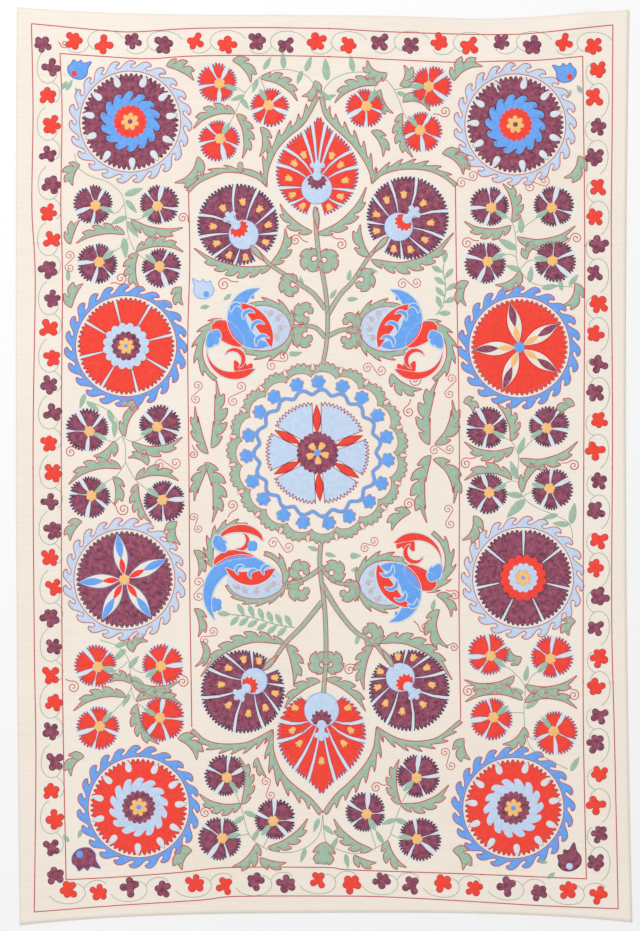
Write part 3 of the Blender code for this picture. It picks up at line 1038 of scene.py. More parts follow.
stems = [
    # points, width at start, width at end
    ([(-0.2, 25.5), (0.6, 30), (0.9, 37), (0.2, 44), (-1.2, 51.5), (-1.9, 58), (-2.0, 63.4)], 0.9, 1.0),
    ([(0.4, 38.4), (-2.6, 42.2), (-6.2, 44.7), (-13.0, 49.2), (-15.2, 51.4), (-17.0, 53.2)], 1.1, 0.8),
    ([(0.9, 37), (4.0, 42), (7.1, 45.3), (11.1, 51.3), (15.1, 55.8)], 1.1, 0.8),
    ([(0.4, 31.5), (-2.6, 34.1), (-8.0, 34.2)], 1.1, 0.8),
    ([(0.9, 31.8), (4.8, 33.4), (9.0, 32.6)], 1.1, 0.8),
    ([(-0.8, -19.2), (-1.0, -24.7), (0.2, -35.5), (0.5, -46), (-0.1, -55.6)], 1.0, 1.0),
    ([(-0.8, -24.5), (1.6, -27.6), (4.1, -28.8), (7.8, -29.0)], 1.1, 0.8),
    ([(-0.5, -29), (3.6, -35.7), (7.8, -40.7), (12.1, -43.2), (15.4, -47.3)], 1.2, 0.9),
    ([(-0.9, -25.2), (-5.3, -28), (-9.3, -28.8)], 1.1, 0.8),
    ([(-0.4, -33.2), (-5.3, -39.2), (-9.5, -43.5), (-12.6, -48.0)], 1.2, 0.9),
]
sepals = [
    # x, y, heading, length: a slim leaf over the end of a stem, at the foot of its palmette
    (-14.9, 50.5, 131, 4.8), (12.4, 52.6, 47, 4.8), (-11.6, -46.6, 226, 4.8), (14.4, -45.2, -57, 4.8),
    (-1.5, 58.4, 98, 5.2),
]
panelCurls = [
    # base x, y, heading, size, hand
    (-1.5, 51.4, 205, 5.0, 1), (-0.9, 51.0, -20, 5.0, -1),
    (-3.5, 36.5, 150, 4.6, -1), (-3.9, 32.9, 215, 4.9, 1), (-6.6, 44.8, 190, 4.8, 1),
    (5.6, 33.9, 35, 4.6, 1), (5.2, 32.6, -35, 4.9, -1), (8.1, 46.0, -8, 4.8, -1),
    (1.0, -26.8, 30, 4.8, 1), (4.8, -29.6, -30, 4.8, -1), (-5.2, -27.2, 120, 4.6, -1),
    (-4.8, -29.0, 220, 5.0, 1), (0.3, -49.5, 140, 4.9, -1), (0.7, -49.5, 40, 4.9, 1),
    (10.0, -42.0, 15, 5.0, 1),
]
panelLeaves = [
    # x0, y0, x1, y1, bow, width, outer lobes: leaves that follow the palmettes, then loose ones
    (-13.0, 49.0, -31.9, 53.4, 0.16, 2.9, 6), (-13.0, 49.6, -9.5, 58.2, -0.18, 2.8, 3),
    (-2.9, 57.4, -10.8, 64.2, 0.14, 2.5, 3), (-1.6, 57.0, 10.4, 68.4, -0.17, 2.6, 4),
    (11.6, 50.6, 31.8, 57.2, -0.24, 3.0, 6), (11.2, 51.4, 8.9, 59.2, 0.16, 2.7, 2),
    (-9.6, -43.6, -30.2, -51.6, -0.24, 2.9, 6), (-9.3, -43.9, -7.4, -53.4, 0.12, 3.0, 3),
    (12.0, -43.4, 31.4, -52.4, 0.24, 2.9, 6), (12.0, -44.0, 9.8, -54.9, -0.14, 3.0, 4),
    (-0.9, -52.8, -9.7, -59.3, -0.14, 2.5, 3), (0.5, -52.4, 10.2, -60.1, 0.14, 2.5, 3),
    (-31.9, -20.7, -30.8, -27.0, 0.2, 2.2, 2), (-31.8, -35.0, -30.8, -41.9, 0.2, 2.2, 2),
    (-30.0, -43.0, -31.6, -49.2, 0.3, 1.8, 1), (27.6, -31.6, 31.2, -37.0, 0.22, 2.4, 2),
    (28.2, -35.2, 30.4, -44.6, -0.30, 3.2, 3),
]
panelPlain = [
    # x, y, heading
    (-5.6, 45.2, 100), (-6.7, 27.5, 15), (2.3, 42.2, 55), (6.2, 46.8, 80), (11.8, 47.9, -15),
    (7.0, 40.9, 5), (-2.8, -20.2, 160), (1.6, -21.8, -15), (8.2, -42.4, 75), (-2.3, -49.6, 185),
    (1.6, -49.6, -25), (26.8, -34.0, 75), (8.0, -25.4, 5),
]


def middlePanel():
    # stems first, then the leaves on them, and the four birds last
    for row in stems:
        stem(*row)
    for x, y, heading, length in sepals:
        spine = [polar(x, y, at, np.radians(heading)) for at in (-0.3, 0.5 * length, length)]
        leafBand(spine, 0.62, 0.62, swell=1.3, lift=0.9)
    for row in panelCurls:
        curlLeaf(*row)
    for row in panelLeaves:
        lobed(*row)
    for x, y, heading in panelPlain:
        plainLeaf(x, y, heading, 2.8, 1.2)
    peacock(-18.9, 33.0)
    peacock(19.3, 32.8, flipX=-1, size=0.99)
    peacock(19.1, -27.9, flipX=-1, flipY=-1, size=0.98)
    lowerLeftBird()


vines = [
    # thin unlined vines and their branches to the flowers
    [(-61.1, 76.6), (-60.3, 73.3), (-57.6, 71.2), (-53.2, 69.7), (-50.8, 67.9), (-49.3, 65.9), (-48.6, 62.0),
     (-48.1, 57.3), (-47.0, 54.0), (-45.8, 52.2), (-44.3, 50.9), (-42.5, 49.9)],
    [(-49.1, 64.0), (-51.0, 62.0), (-54.2, 62.8)], [(-48.2, 60.8), (-45.5, 60.4), (-43.0, 61.8)],
    [(-48.1, 55.6), (-49.8, 53.6), (-52.9, 52.0)],
    [(-58.1, 15.9), (-55.4, 14.9), (-52.7, 13.4), (-50.6, 10.9), (-49.5, 7.4), (-48.7, 4.8), (-48.6, 1.0),
     (-47.4, -1.4), (-46.1, -3.5), (-42.6, -6.4)],
    [(-49.6, 7.2), (-51.7, 6.0), (-54.6, 6.9)], [(-49.3, 6.9), (-46.6, 6.0), (-43.7, 7.4)],
    [(-48.6, 0.9), (-50.9, -2.4), (-54.6, -4.5)],
    [(-55.0, -42.6), (-50.8, -44.1), (-48.0, -47.3), (-47.3, -52.5), (-47.0, -55.6), (-45.9, -57.8),
     (-44.2, -59.2), (-42.4, -60.3)],
    [(-48.1, -48.0), (-51.0, -50.2), (-53.4, -49.7)], [(-47.9, -49.0), (-44.9, -50.6), (-42.3, -49.8)],
    [(-47.3, -54.5), (-49.5, -58.0), (-52.8, -61.3)],
    [(60.9, 43.9), (52.9, 44.3), (49.9, 45.7), (48.0, 48.1), (47.2, 50.5), (47.0, 55.5), (46.1, 59.7),
     (43.6, 62.3)],
    [(46.9, 57.0), (48.7, 58.4), (53.2, 61.5)], [(47.1, 51.2), (45.5, 51.9), (42.9, 51.4)],
    [(48.2, 48.4), (50.2, 50.3), (53.3, 50.5)],
    [(60.9, -17.7), (60.6, -15.3), (59.4, -13.5), (56.2, -11.9), (52.3, -10.3), (49.3, -8.2), (48.1, -5.8),
     (47.5, -1.6), (47.7, 1.9), (47.1, 4.0), (46.1, 5.8), (43.2, 7.6)],
    [(47.7, 2.8), (49.9, 5.2), (52.4, 7.6)], [(47.8, -4.0), (45.8, -3.7), (43.0, -4.9)],
    [(48.7, -7.6), (50.2, -6.6), (52.8, -6.2)],
    [(59.7, -74.3), (55.0, -71.9), (51.0, -69.4), (49.4, -65.5), (49.0, -59.6), (49.2, -54.1), (46.3, -50.4),
     (43.4, -48.6)],
    [(49.1, -54.6), (51.0, -51.5), (53.4, -49.7)], [(49.0, -60.5), (46.5, -60.4), (44.0, -60.4)],
    [(49.4, -65.6), (51.4, -67.0), (53.9, -66.8)],
    [(-1.2, 90.4), (-2.5, 93.6), (-5.1, 96.1), (-9.8, 97.2), (-14.5, 96.1), (-17.5, 93.6), (-19.6, 91.0),
     (-21.6, 86.9), (-23.8, 82.6)],
    [(-15.9, 95.2), (-14.8, 93.2), (-14.4, 90.8)], [(-19.4, 91.4), (-21.4, 92.8), (-23.4, 92.8)],
    [(-1.1, 90.2), (0.8, 93.4), (3.3, 95.3), (6.9, 96.4), (11.5, 96.2), (15.7, 94.1), (18.2, 90.0),
     (19.6, 86.3), (21.4, 84.0)],
    [(17.2, 92.2), (20.0, 92.6), (23.2, 92.8)], [(14.1, 95.0), (12.6, 92.8), (11.6, 90.6)],
    [(-0.3, -85.4), (-1.1, -90.1), (-3.8, -93.1), (-7.6, -94.6), (-11.1, -94.6), (-13.9, -93.9),
     (-16.7, -92.2), (-18.7, -89.6), (-20.2, -84.0), (-22.0, -79.2)],
    [(-14.9, -93.4), (-13.9, -91.4), (-13.4, -89.2)], [(-18.4, -90.1), (-20.4, -90.6), (-22.4, -90.8)],
    [(-0.3, -85.4), (0.3, -91.4), (2.6, -93.6), (6.6, -94.9), (9.7, -94.8), (12.2, -93.9), (15.7, -91.4),
     (17.5, -86.6), (19.6, -81.5), (21.2, -78.9)],
    [(12.8, -93.6), (11.8, -90.6), (11.3, -88.2)], [(16.4, -90.2), (18.4, -91.2), (20.4, -91.3)],
]
sideLeaves = [
    # x0, y0, x1, y1, bow, width, lobes: leaves of the side groups and the ends
    (-59.9, 73.8, -61.6, 68.7, -0.25, 3.0, 3), (-62.2, 54.4, -59.9, 60.2, 0.12, 2.4, 2),
    (-48.9, 56.8, -60.7, 54.6, -0.16, 2.6, 4), (-47.2, 60.4, -34.6, 58.4, -0.16, 2.6, 3),
    (-45.9, 52.6, -34.5, 52.5, 0.20, 2.6, 4), (-45.6, 52.2, -45.2, 43.4, -0.2, 3.0, 4),
    (-62.0, 38.8, -59.1, 44.7, 0.16, 3.0, 2), (-35.0, 43.8, -34.6, 39.4, -0.2, 2.6, 2),
    (-30.9, 75.8, -36.6, 69.4, 0.28, 3.0, 2),
    (-49.4, 14.6, -46.8, 13.4, 0.5, 2.2, 2), (-48.7, 7.2, -45.3, 14.4, 0.2, 2.2, 2),
    (-51.4, 6.1, -56.5, 2.4, 0.2, 2.8, 2), (-47.0, 5.8, -34.7, 7.1, -0.22, 2.6, 3),
    (-43.2, 0.2, -48.0, 2.0, -0.25, 2.0, 2), (-49.8, -0.6, -62.6, -4.5, -0.2, 2.8, 4),
    (-46.1, -3.3, -35.6, -3.6, 0.2, 2.6, 3), (-51.7, -2.7, -51.4, -9.6, 0.18, 2.4, 2),
    (-45.7, -4.4, -42.3, -14.0, -0.16, 2.6, 4), (-59.4, -13.6, -62.2, -18.3, -0.2, 2.6, 2),
    (-36.1, -13.6, -35.2, -19.3, -0.3, 2.8, 2),
    (-46.8, -45.6, -43.2, -43.0, 0.4, 2.6, 2), (-47.4, -53.2, -52.6, -53.0, -0.25, 2.4, 3),
    (-48.6, -56.6, -61.4, -60.0, -0.18, 2.6, 4), (-45.9, -57.6, -34.8, -58.6, 0.2, 2.6, 4),
    (-45.8, -58.4, -40.4, -68.2, -0.2, 2.8, 4), (-58.8, -71.2, -62.0, -76.0, -0.3, 2.8, 2),
    (-35.8, -66.8, -31.2, -72.0, 0.25, 3.2, 2), (-47.0, -52.6, -35.6, -52.8, -0.2, 2.4, 3),
    (46.1, 59.8, 43.8, 69.2, -0.2, 2.8, 4), (45.8, 58.9, 34.4, 59.9, 0.2, 2.7, 4),
    (47.4, 56.1, 61.6, 58.8, -0.2, 2.8, 4), (49.7, 50.7, 52.6, 53.8, 0.35, 2.2, 2),
    (48.0, 47.8, 42.0, 44.4, 0.25, 2.6, 2), (62.4, 76.0, 58.8, 70.6, 0.3, 3.0, 2),
    (32.0, 76.0, 33.9, 71.8, 0.3, 2.6, 2), (61.6, 44.8, 58.4, 39.2, 0.3, 2.8, 2),
    (35.4, 45.2, 34.8, 39.2, -0.3, 2.6, 2),
    (45.8, 6.2, 42.4, 15.2, -0.2, 2.8, 4), (46.4, 4.6, 34.4, 5.9, 0.22, 2.7, 4),
    (48.0, 1.8, 62.2, 6.0, -0.2, 2.8, 4), (46.0, -3.3, 34.4, -3.5, -0.24, 2.6, 3),
    (48.7, -6.4, 53.8, 0.4, 0.2, 2.2, 2), (36.7, -12.2, 33.9, -18.2, 0.3, 2.8, 2),
    (61.4, 14.9, 58.0, 12.2, -0.3, 2.6, 2), (34.2, 15.6, 36.6, 13.2, 0.3, 2.4, 2),
    (48.4, -46.9, 45.4, -44.6, 0.4, 2.6, 2), (46.6, -51.4, 34.4, -52.4, 0.2, 2.6, 4),
    (49.4, -53.6, 62.0, -51.4, -0.2, 2.7, 4), (48.6, -57.4, 34.6, -57.8, -0.2, 2.7, 4),
    (49.4, -58.0, 62.0, -59.4, 0.22, 2.7, 4), (49.0, -64.0, 43.8, -68.2, 0.25, 2.6, 3),
    (34.2, -66.8, 35.8, -72.0, -0.25, 3.0, 2), (61.6, -38.0, 60.0, -41.6, -0.3, 2.8, 2),
    (-38.6, 98.0, -31.9, 94.5, 0.16, 3.0, 3), (-22.4, 99.4, -17.9, 94.0, 0.22, 2.8, 2),
    (-15.4, 94.9, -6.5, 89.4, 0.2, 2.8, 4), (-2.2, 94.4, -5.4, 90.6, 0.3, 2.6, 2),
    (-21.9, 86.4, -32.0, 82.7, -0.22, 2.8, 4), (-21.5, 86.2, -20.0, 75.4, 0.18, 2.7, 4),
    (-15.6, 83.0, -15.8, 75.8, 0.2, 2.4, 2), (15.4, 96.2, 10.6, 99.4, 0.35, 3.0, 4),
    (18.6, 93.2, 19.6, 98.2, -0.3, 2.6, 2), (13.1, 93.4, 2.6, 89.0, -0.2, 2.8, 4),
    (13.8, 92.2, 17.0, 86.4, -0.2, 2.2, 2), (19.3, 89.2, 26.0, 87.0, 0.3, 2.4, 2),
    (19.2, 86.4, 21.8, 75.6, -0.16, 2.6, 4), (11.6, 82.0, 14.5, 75.8, 0.2, 2.4, 2),
    (29.0, 76.6, 34.2, 71.4, 0.25, 3.0, 2), (31.8, 94.4, 38.8, 97.8, 0.28, 3.4, 3),
    (-13.7, -93.4, -4.0, -86.4, -0.16, 2.7, 4), (-16.6, -92.6, -22.4, -98.2, 0.2, 3.0, 3),
    (-15.6, -96.0, -9.3, -97.2, -0.14, 2.4, 2), (-20.4, -82.8, -30.6, -80.4, 0.2, 2.8, 4),
    (-20.2, -82.9, -20.8, -71.3, -0.16, 2.6, 4), (-16.3, -71.5, -14.2, -76.2, -0.1, 1.8, 2),
    (-32.4, -94.2, -34.8, -99.0, -0.3, 3.2, 2), (31.6, -94.2, 34.0, -99.0, 0.3, 3.2, 2),
    (11.7, -93.9, 2.4, -86.5, 0.16, 2.7, 4), (18.9, -82.9, 30.6, -78.2, -0.2, 2.8, 4),
    (18.8, -82.9, 18.4, -71.9, 0.16, 2.6, 4), (15.6, -91.8, 20.2, -98.4, -0.2, 2.8, 3),
    (7.4, -95.4, 12.8, -97.2, -0.14, 2.4, 2),
]
sidePlain = [
    # x, y, heading, length
    (-46.6, 67.2, 20, 4.0), (-47.2, 63.6, -50, 3.4), (-50.3, 60.2, 205, 3.6), (-46.9, 58.0, -55, 4.0),
    (-48.8, 53.4, -85, 4.2), (-62.7, 46.9, 90, 2.6), (-59.2, 15.9, 250, 3.2), (-56.6, 14.6, -35, 3.2),
    (-52.2, 11.9, -70, 3.4), (-51.3, 9.0, -92, 3.4), (-49.4, -43.6, 20, 3.2), (-50.2, -46.4, 225, 3.6),
    (-46.6, -48.0, 50, 3.2), (-45.6, -52.6, -30, 3.2), (-48.5, -57.4, 240, 3.0),
    (48.3, 59.2, 92, 3.6), (44.9, 54.4, 150, 4.4), (46.4, 48.5, 160, 3.4), (50.6, 47.0, 82, 3.4),
    (55.4, 43.9, 10, 3.4), (58.0, 44.6, 100, 2.8), (61.2, 45.6, 50, 3.0),
    (48.4, 5.0, 70, 3.6), (46.5, -1.0, 110, 4.0), (46.6, -7.1, 172, 3.6), (47.0, -10.4, 225, 5.2),
    (55.4, -12.4, 195, 3.2), (58.0, -14.2, 175, 3.4), (61.0, -11.6, 80, 4.4),
    (49.6, -50.8, 80, 3.2), (47.2, -55.0, 160, 3.2), (51.0, -58.4, 30, 3.2), (61.5, -73.0, 60, 3.4),
    (-13.9, 98.7, 60, 3.0), (-10.0, 99.4, 95, 3.4), (-16.9, 93.2, 250, 3.0), (-21.2, 90.2, 200, 3.0),
    (-19.4, 88.8, -55, 3.0), (-3.8, 98.6, 70, 3.4), (-6.0, 95.2, 250, 3.0), (0.4, 90.6, -40, 2.8),
    (0.5, 97.2, 95, 4.6), (6.8, 98.6, 100, 3.4), (1.4, 90.4, 20, 2.8), (19.4, 91.0, -20, 2.8),
    (-1.9, -88.0, 250, 3.0), (-5.1, -95.4, 250, 3.0), (-17.8, -85.4, -20, 3.2), (-21.2, -87.0, 215, 3.2),
    (-16.6, -90.2, 60, 3.0), (1.1, -89.2, -40, 3.0), (19.2, -87.2, -20, 3.2), (15.8, -87.2, 200, 3.0),
    (13.6, -90.9, 120, 3.0), (5.6, -96.8, -80, 3.0), (2.6, -92.4, 60, 3.0), (-62.4, 93.4, 60, 2.6),
]
tendrils = [
    # x, y, radius, start angle, turn direction, tail
    (-49.8, 46.0, 1.5, 250, 1, 2.2), (-49.2, -10.6, 1.5, 200, 1, 3.4), (-62.0, 3.4, 1.4, 60, 1, 2.0),
    (-61.5, -54.2, 1.5, 90, -1, 2.0), (-34.6, -52.9, 1.4, 60, -1, 2.0), (35.1, 54.6, 1.4, 60, 1, 2.4),
    (61.8, 55.8, 1.4, 160, -1, 2.4), (34.8, 0.6, 1.4, 80, 1, 2.4), (61.2, 0.1, 1.4, 120, -1, 2.4),
    (35.4, -55.2, 1.4, 90, 1, 2.0), (61.2, -56.2, 1.4, 80, -1, 2.0), (29.6, 86.9, 1.4, 240, 1, 2.4),
    (-29.1, -85.0, 1.4, 40, 1, 2.4), (12.8, -78.8, 1.3, 60, 1, 2.2), (-63.6, 103.4, 1.0, 200, 1, 1.2),
    (-24.5, 44.5, 1.6, 60, 1, 3.0), (-7.0, 55.3, 1.4, 40, 1, 2.6), (4.2, 54.3, 1.4, 90, -1, 2.6),
    (22.2, 21.1, 1.5, 340, -1, 2.8), (20.8, 13.3, 1.4, 130, 1, 2.6), (20.8, -9.3, 1.4, 40, 1, 2.6),
    (-32.0, 2.9, 1.1, 50, -1, 1.8), (-22.5, -9.6, 1.4, 300, 1, 2.8), (32.0, -31.7, 1.2, 100, -1, 2.0),
    (24.7, -39.5, 1.4, 200, 1, 2.6), (31.8, -44.5, 1.1, 120, -1, 1.8), (6.3, -49.9, 1.4, 80, 1, 2.4),
    (-5.4, -64.8, 1.0, 40, 1, 1.4), (-34.6, 60.8, 1.3, 0, 1, 1.6),
]
curlPairs = [
    # x and y of both curls, radius, turn direction
    (-62.4, 51.6, -62.3, 48.6, 1.2, 1), (-40.2, 0.2, -36.4, 0.8, 1.4, 1), (33.8, 69.4, 36.4, 71.2, 1.3, 1),
    (50.6, 68.4, 54.0, 70.0, 1.4, 1), (-14.3, -77.4, -13.0, -80.6, 1.2, 1),
    (29.6, -70.2, 31.2, -73.4, 1.2, 1), (-31.0, 19.7, -31.3, 16.4, 1.2, 1),
    (-20.4, 19.5, -22.2, 15.9, 1.3, 1), (-10.0, 26.9, -12.8, 24.6, 1.3, 1),
    (-32.0, -12.6, -30.7, -15.3, 1.1, 1), (-12.4, -18.9, -8.7, -19.8, 1.4, 1),
    (-30.8, -28.5, -30.6, -31.9, 1.3, 1), (-27.2, -40.5, -29.2, -42.9, 1.2, 1),
    (10.7, 24.0, 14.0, 23.5, 1.3, 1), (19.3, 44.6, 22.6, 45.0, 1.3, 1), (31.2, 21.4, 30.8, 17.7, 1.2, 1),
    (27.1, 3.8, 30.7, 4.2, 1.2, 1), (30.4, -10.6, 31.0, -14.2, 1.2, 1), (10.1, -20.1, 12.2, -18.4, 1.2, 1),
]


def leafletSprig(points, count, length):
    # a curved stalk with round-ended leaflets to one side and the other, and one at its tip
    path = smooth(points)
    line("green", path, width=0.35)
    along = arcLength(path)
    out = sideways(path)
    for k in range(count):
        at = along[-1] * (0.04 + 0.9 * k / count)
        x, y = (float(np.interp(at, along, path[:, i])) for i in (0, 1))
        nx, ny = (float(np.interp(at, along, out[:, i])) for i in (0, 1))
        fore = np.degrees(np.arctan2(-nx, ny))
        side = 1 if k % 2 else -1
        drop("green", x, y, fore + side * 52, length, 0.42 * length, blunt=1.25)
    drop("green", *path[-1], np.degrees(np.arctan2(*(path[-1] - path[-3])[::-1])), length, 0.42 * length,
         blunt=1.2)


budRim = np.array([
    # side view of a closed flower: round back, scalloped front and one drawn-out tip
    (-0.95, -0.33), (-0.98, 0.30), (-0.66, 0.60), (-0.40, 1.0), (0.0, 0.72), (0.34, 0.96),
    (0.62, 0.62), (1.42, 0.78), (1.06, 0.10), (0.96, -0.54), (0.42, -1.0), (-0.42, -0.88),
])


def bud(x, y, degrees, size, flip, thread, edgeThread, dotThread):
    # the closed flower in one colour, edged in a second, with a round dot in a third
    shapeFan(thread, turned(budRim, x, y, degrees, size, flip), (x, y), edge=edgeThread)
    dotAt = turned(np.array([(-0.34, -0.42)]), x, y, degrees, size, flip)[0]
    disc(dotThread, *dotAt, 0.30 * size, lift=0.7)


buds = [
    # x, y, turned by, size, mirrored, fill, edge, dot
    (-60.4, 97.2, 0, 2.4, 1, "blue", "violet", "red"),
    (59.4, 96.4, 180, 2.4, -1, "blue", "violet", "red"),
    (-58.9, -96.4, 0, 2.9, -1, "plum", "blue", "blue"),
    (60.0, -96.6, 45, 2.8, 1, "plum", "navy", "paleBlue"),
    (-29.4, 43.3, 165, 2.4, -1, "paleBlue", "blue", "blue"),
]
budLeaves = [
    # x, y, heading
    (-63.0, 94.4, 240), (-61.0, 92.8, -60), (62.0, 93.4, -60), (60.6, 92.2, 240), (-62.4, -92.2, 130),
    (-60.2, -91.2, 70), (56.6, -99.6, 220), (54.8, -97.2, 170), (-24.6, 40.6, 40), (-28.0, 39.2, 190),
]
tallLeaves = [
    # x0, y0, x1, y1, bow, width, lobes out, lobes in: pairs beside the medallion, then two loose ones
    (-27.6, 4.4, -26.4, 21.0, -0.05, 3.4, 4, 2), (-28.4, 3.0, -31.6, 14.6, 0.06, 2.6, 3, 1),
    (-29.2, 0.8, -27.4, -13.8, 0.14, 3.6, 4, 2), (-28.2, 0.2, -31.8, -8.6, -0.08, 2.6, 3, 1),
    (25.8, 5.2, 28.0, 21.4, 0.10, 3.6, 4, 2), (27.2, 5.4, 31.4, 16.2, -0.20, 3.0, 3, 1),
    (26.2, 2.6, 25.2, -14.0, -0.12, 3.8, 4, 2), (26.8, 1.6, 31.8, -9.2, 0.24, 3.0, 3, 1),
    (16.6, 22.6, 24.0, 18.8, -0.20, 3.0, 3, 0), (21.2, -11.4, 16.6, -15.8, -0.20, 3.0, 2, 0),
]


def sidesAndEnds():
    # vines first, then their leaves, curls and buds
    for points in vines:
        line("vine", smooth(points), width=0.24, lift=-0.1)
    for row in sideLeaves:
        lobed(*row)
    for x, y, heading, length in sidePlain:
        plainLeaf(x, y, heading, 1.22 * length, 0.44 * length)
    for row in tendrils:
        tendril(*row)
    for row in curlPairs:
        curlPair(*row)
    for row in buds:
        bud(*row)
    for x, y, heading in budLeaves:
        drop("green", x, y, heading, 2.4, 1.2, blunt=1.1)
    leafletSprig([(27.5, 37.0), (29.2, 39.6), (29.8, 44.0), (29.2, 47.6), (29.4, 49.6)], 8, 3.3)
    leafletSprig([(-7.2, -39.6), (-12.0, -38.8), (-18.0, -37.0), (-22.8, -36.4)], 12, 3.4)
    for row in tallLeaves:
        lobed(*row)
    leafBand([(0.2, -92.2), (0.0, -95.0), (-0.2, -97.6)], 3.1, 3.1, (2, 2), depth=0.6, swell=1.5)
    drop("green", 6.4, -22.0, 0, 2.8, 1.6)
    drop("green", -8.6, 27.4, 10, 2.4, 1.2)


def linear(hexCode):
    # a web colour as linear light
    value = np.array([int(hexCode[i:i + 2], 16) / 255 for i in (0, 2, 4)])
    return np.where(value <= 0.04045, value / 12.92, ((value + 0.055) / 1.055) ** 2.4)


silks = {
    # thread: record slot, colour, share of mottling, thickness look ("fill" or "chain")
    "red": ("red_silk", "F8402F", 0.10, "fill"),
    "deepRed": ("red_silk", "A83A55", 0.08, "chain"),
    "violet": ("navy_silk", "6A4A9A", 0.08, "chain"),
    "plum": ("plum_silk", "8A2F52", 0.55, "fill"),
    "navy": ("navy_silk", "35264C", 0.10, "chain"),
    "blue": ("blue_silk", "68A6F6", 0.12, "fill"),
    "paleBlue": ("pale_blue_silk", "C6D9F2", 0.10, "fill"),
    "ice": ("pale_blue_silk", "DDE5EC", 0.04, "fill"),
    "cream": ("ground_cotton", "EFE8DD", 0.04, "fill"),
    "green": ("green_silk", "A2BFA9", 0.12, "fill"),
    "vine": ("green_silk", "9DB39F", 0.08, "chain"),
    "yellow": ("yellow_silk", "FCC27B", 0.08, "fill"),
    "ochreLine": ("yellow_silk", "E7A05E", 0.08, "chain"),
    "outline": ("outline_silk", "C94F50", 0.12, "chain"),
}


def newMaterial(name):
    # a node material with its tree and its shader
    material = bpy.data.materials.new(name)
    material.use_nodes = True
    tree = material.node_tree
    return material, tree, tree.nodes["Principled BSDF"]


def put(tree, kind, settings=None, **inputs):
    # one node with its settings and the values of its named inputs
    node = tree.nodes.new(kind)
    for key, value in (settings or {}).items():
        setattr(node, key, value)
    for key, value in inputs.items():
        socket = node.inputs[key.replace("_", " ")]
        if isinstance(value, bpy.types.NodeSocket):
            tree.links.new(value, socket)
        else:
            socket.default_value = value
    return node


def combine(tree, operation, first, second):
    # one Math node on two sockets, or on a socket and a number
    node = put(tree, "ShaderNodeMath", {"operation": operation})
    for socket, value in zip(node.inputs, (first, second)):
        if isinstance(value, bpy.types.NodeSocket):
            tree.links.new(value, socket)
        else:
            socket.default_value = value
    return node.outputs["Value"]


def mottled(tree, first, second, low, high):
    # colour from the mean of two noises: low and high are each a place on the ramp and a colour
    mean = combine(tree, "MULTIPLY", combine(tree, "ADD", first, second), 0.5)
    ramp = put(tree, "ShaderNodeValToRGB", Fac=mean)
    for element, (position, colour) in zip(ramp.color_ramp.elements, (low, high)):
        element.position = position
        element.color = (*colour, 1.0)
    return ramp.outputs["Color"]


def finish(tree, shader, colour, height, strength, distance, settings):
    # base colour and bump into the shader, and its plain settings on their own sockets
    bump = put(tree, "ShaderNodeBump", Height=height, Strength=strength, Distance=distance)
    tree.links.new(colour, shader.inputs["Base Color"])
    tree.links.new(bump.outputs["Normal"], shader.inputs["Normal"])
    for name, value in settings.items():
        shader.inputs[name].default_value = value


silkFinish = {"Roughness": 0.62, "Specular IOR Level": 0.25, "Sheen Weight": 0.08, "Sheen Roughness": 0.4}
cottonFinish = {"Roughness": 0.9, "Specular IOR Level": 0.12}


def silkMaterial(name, hexCode, mottle, look):
    # floss laid side by side and tied down: streaked colour, a ridge for each strand, soft sheen
    material, tree, shader = newMaterial(name)
    uv = put(tree, "ShaderNodeUVMap", {"uv_map": "stitch"}).outputs["UV"]
    place = put(tree, "ShaderNodeTexCoord").outputs["Object"]
    streak = put(tree, "ShaderNodeMapping", Vector=uv, Scale=(6.0, 0.9, 1.0)).outputs["Vector"]
    fine = put(tree, "ShaderNodeTexNoise", Vector=streak, Scale=1.0, Detail=3.0, Roughness=0.6)
    broad = put(tree, "ShaderNodeTexNoise", Vector=place, Scale=85.0, Detail=3.0, Roughness=0.65)
    colour = linear(hexCode)
    light = np.clip(colour * (1 + mottle) + 0.175 * mottle, 0, 1)
    worn = mottled(tree, fine.outputs["Fac"], broad.outputs["Fac"], (0.35, colour * (1 - mottle)),
                   (0.70, light))
    if look == "fill":
        across = put(tree, "ShaderNodeMapping", Vector=uv, Rotation=(0.0, 0.0, np.pi / 2)).outputs["Vector"]
        strands = put(tree, "ShaderNodeTexBrick", Vector=across, Scale=1.0, Mortar_Size=0.018,
                      Mortar_Smooth=1.0, Brick_Width=0.55, Row_Height=0.12)
        finish(tree, shader, worn, strands.outputs["Fac"], 0.35, -0.0004, silkFinish)
    else:
        links = put(tree, "ShaderNodeTexWave", {"bands_direction": "Y"}, Vector=uv, Scale=1.05,
                    Distortion=0.6)
        finish(tree, shader, worn, links.outputs["Fac"], 0.4, 0.0004, silkFinish)
    return material


cotton = {"colour": "F4EADF", "slub": "EFE4D6", "threadPitch": 0.0007}


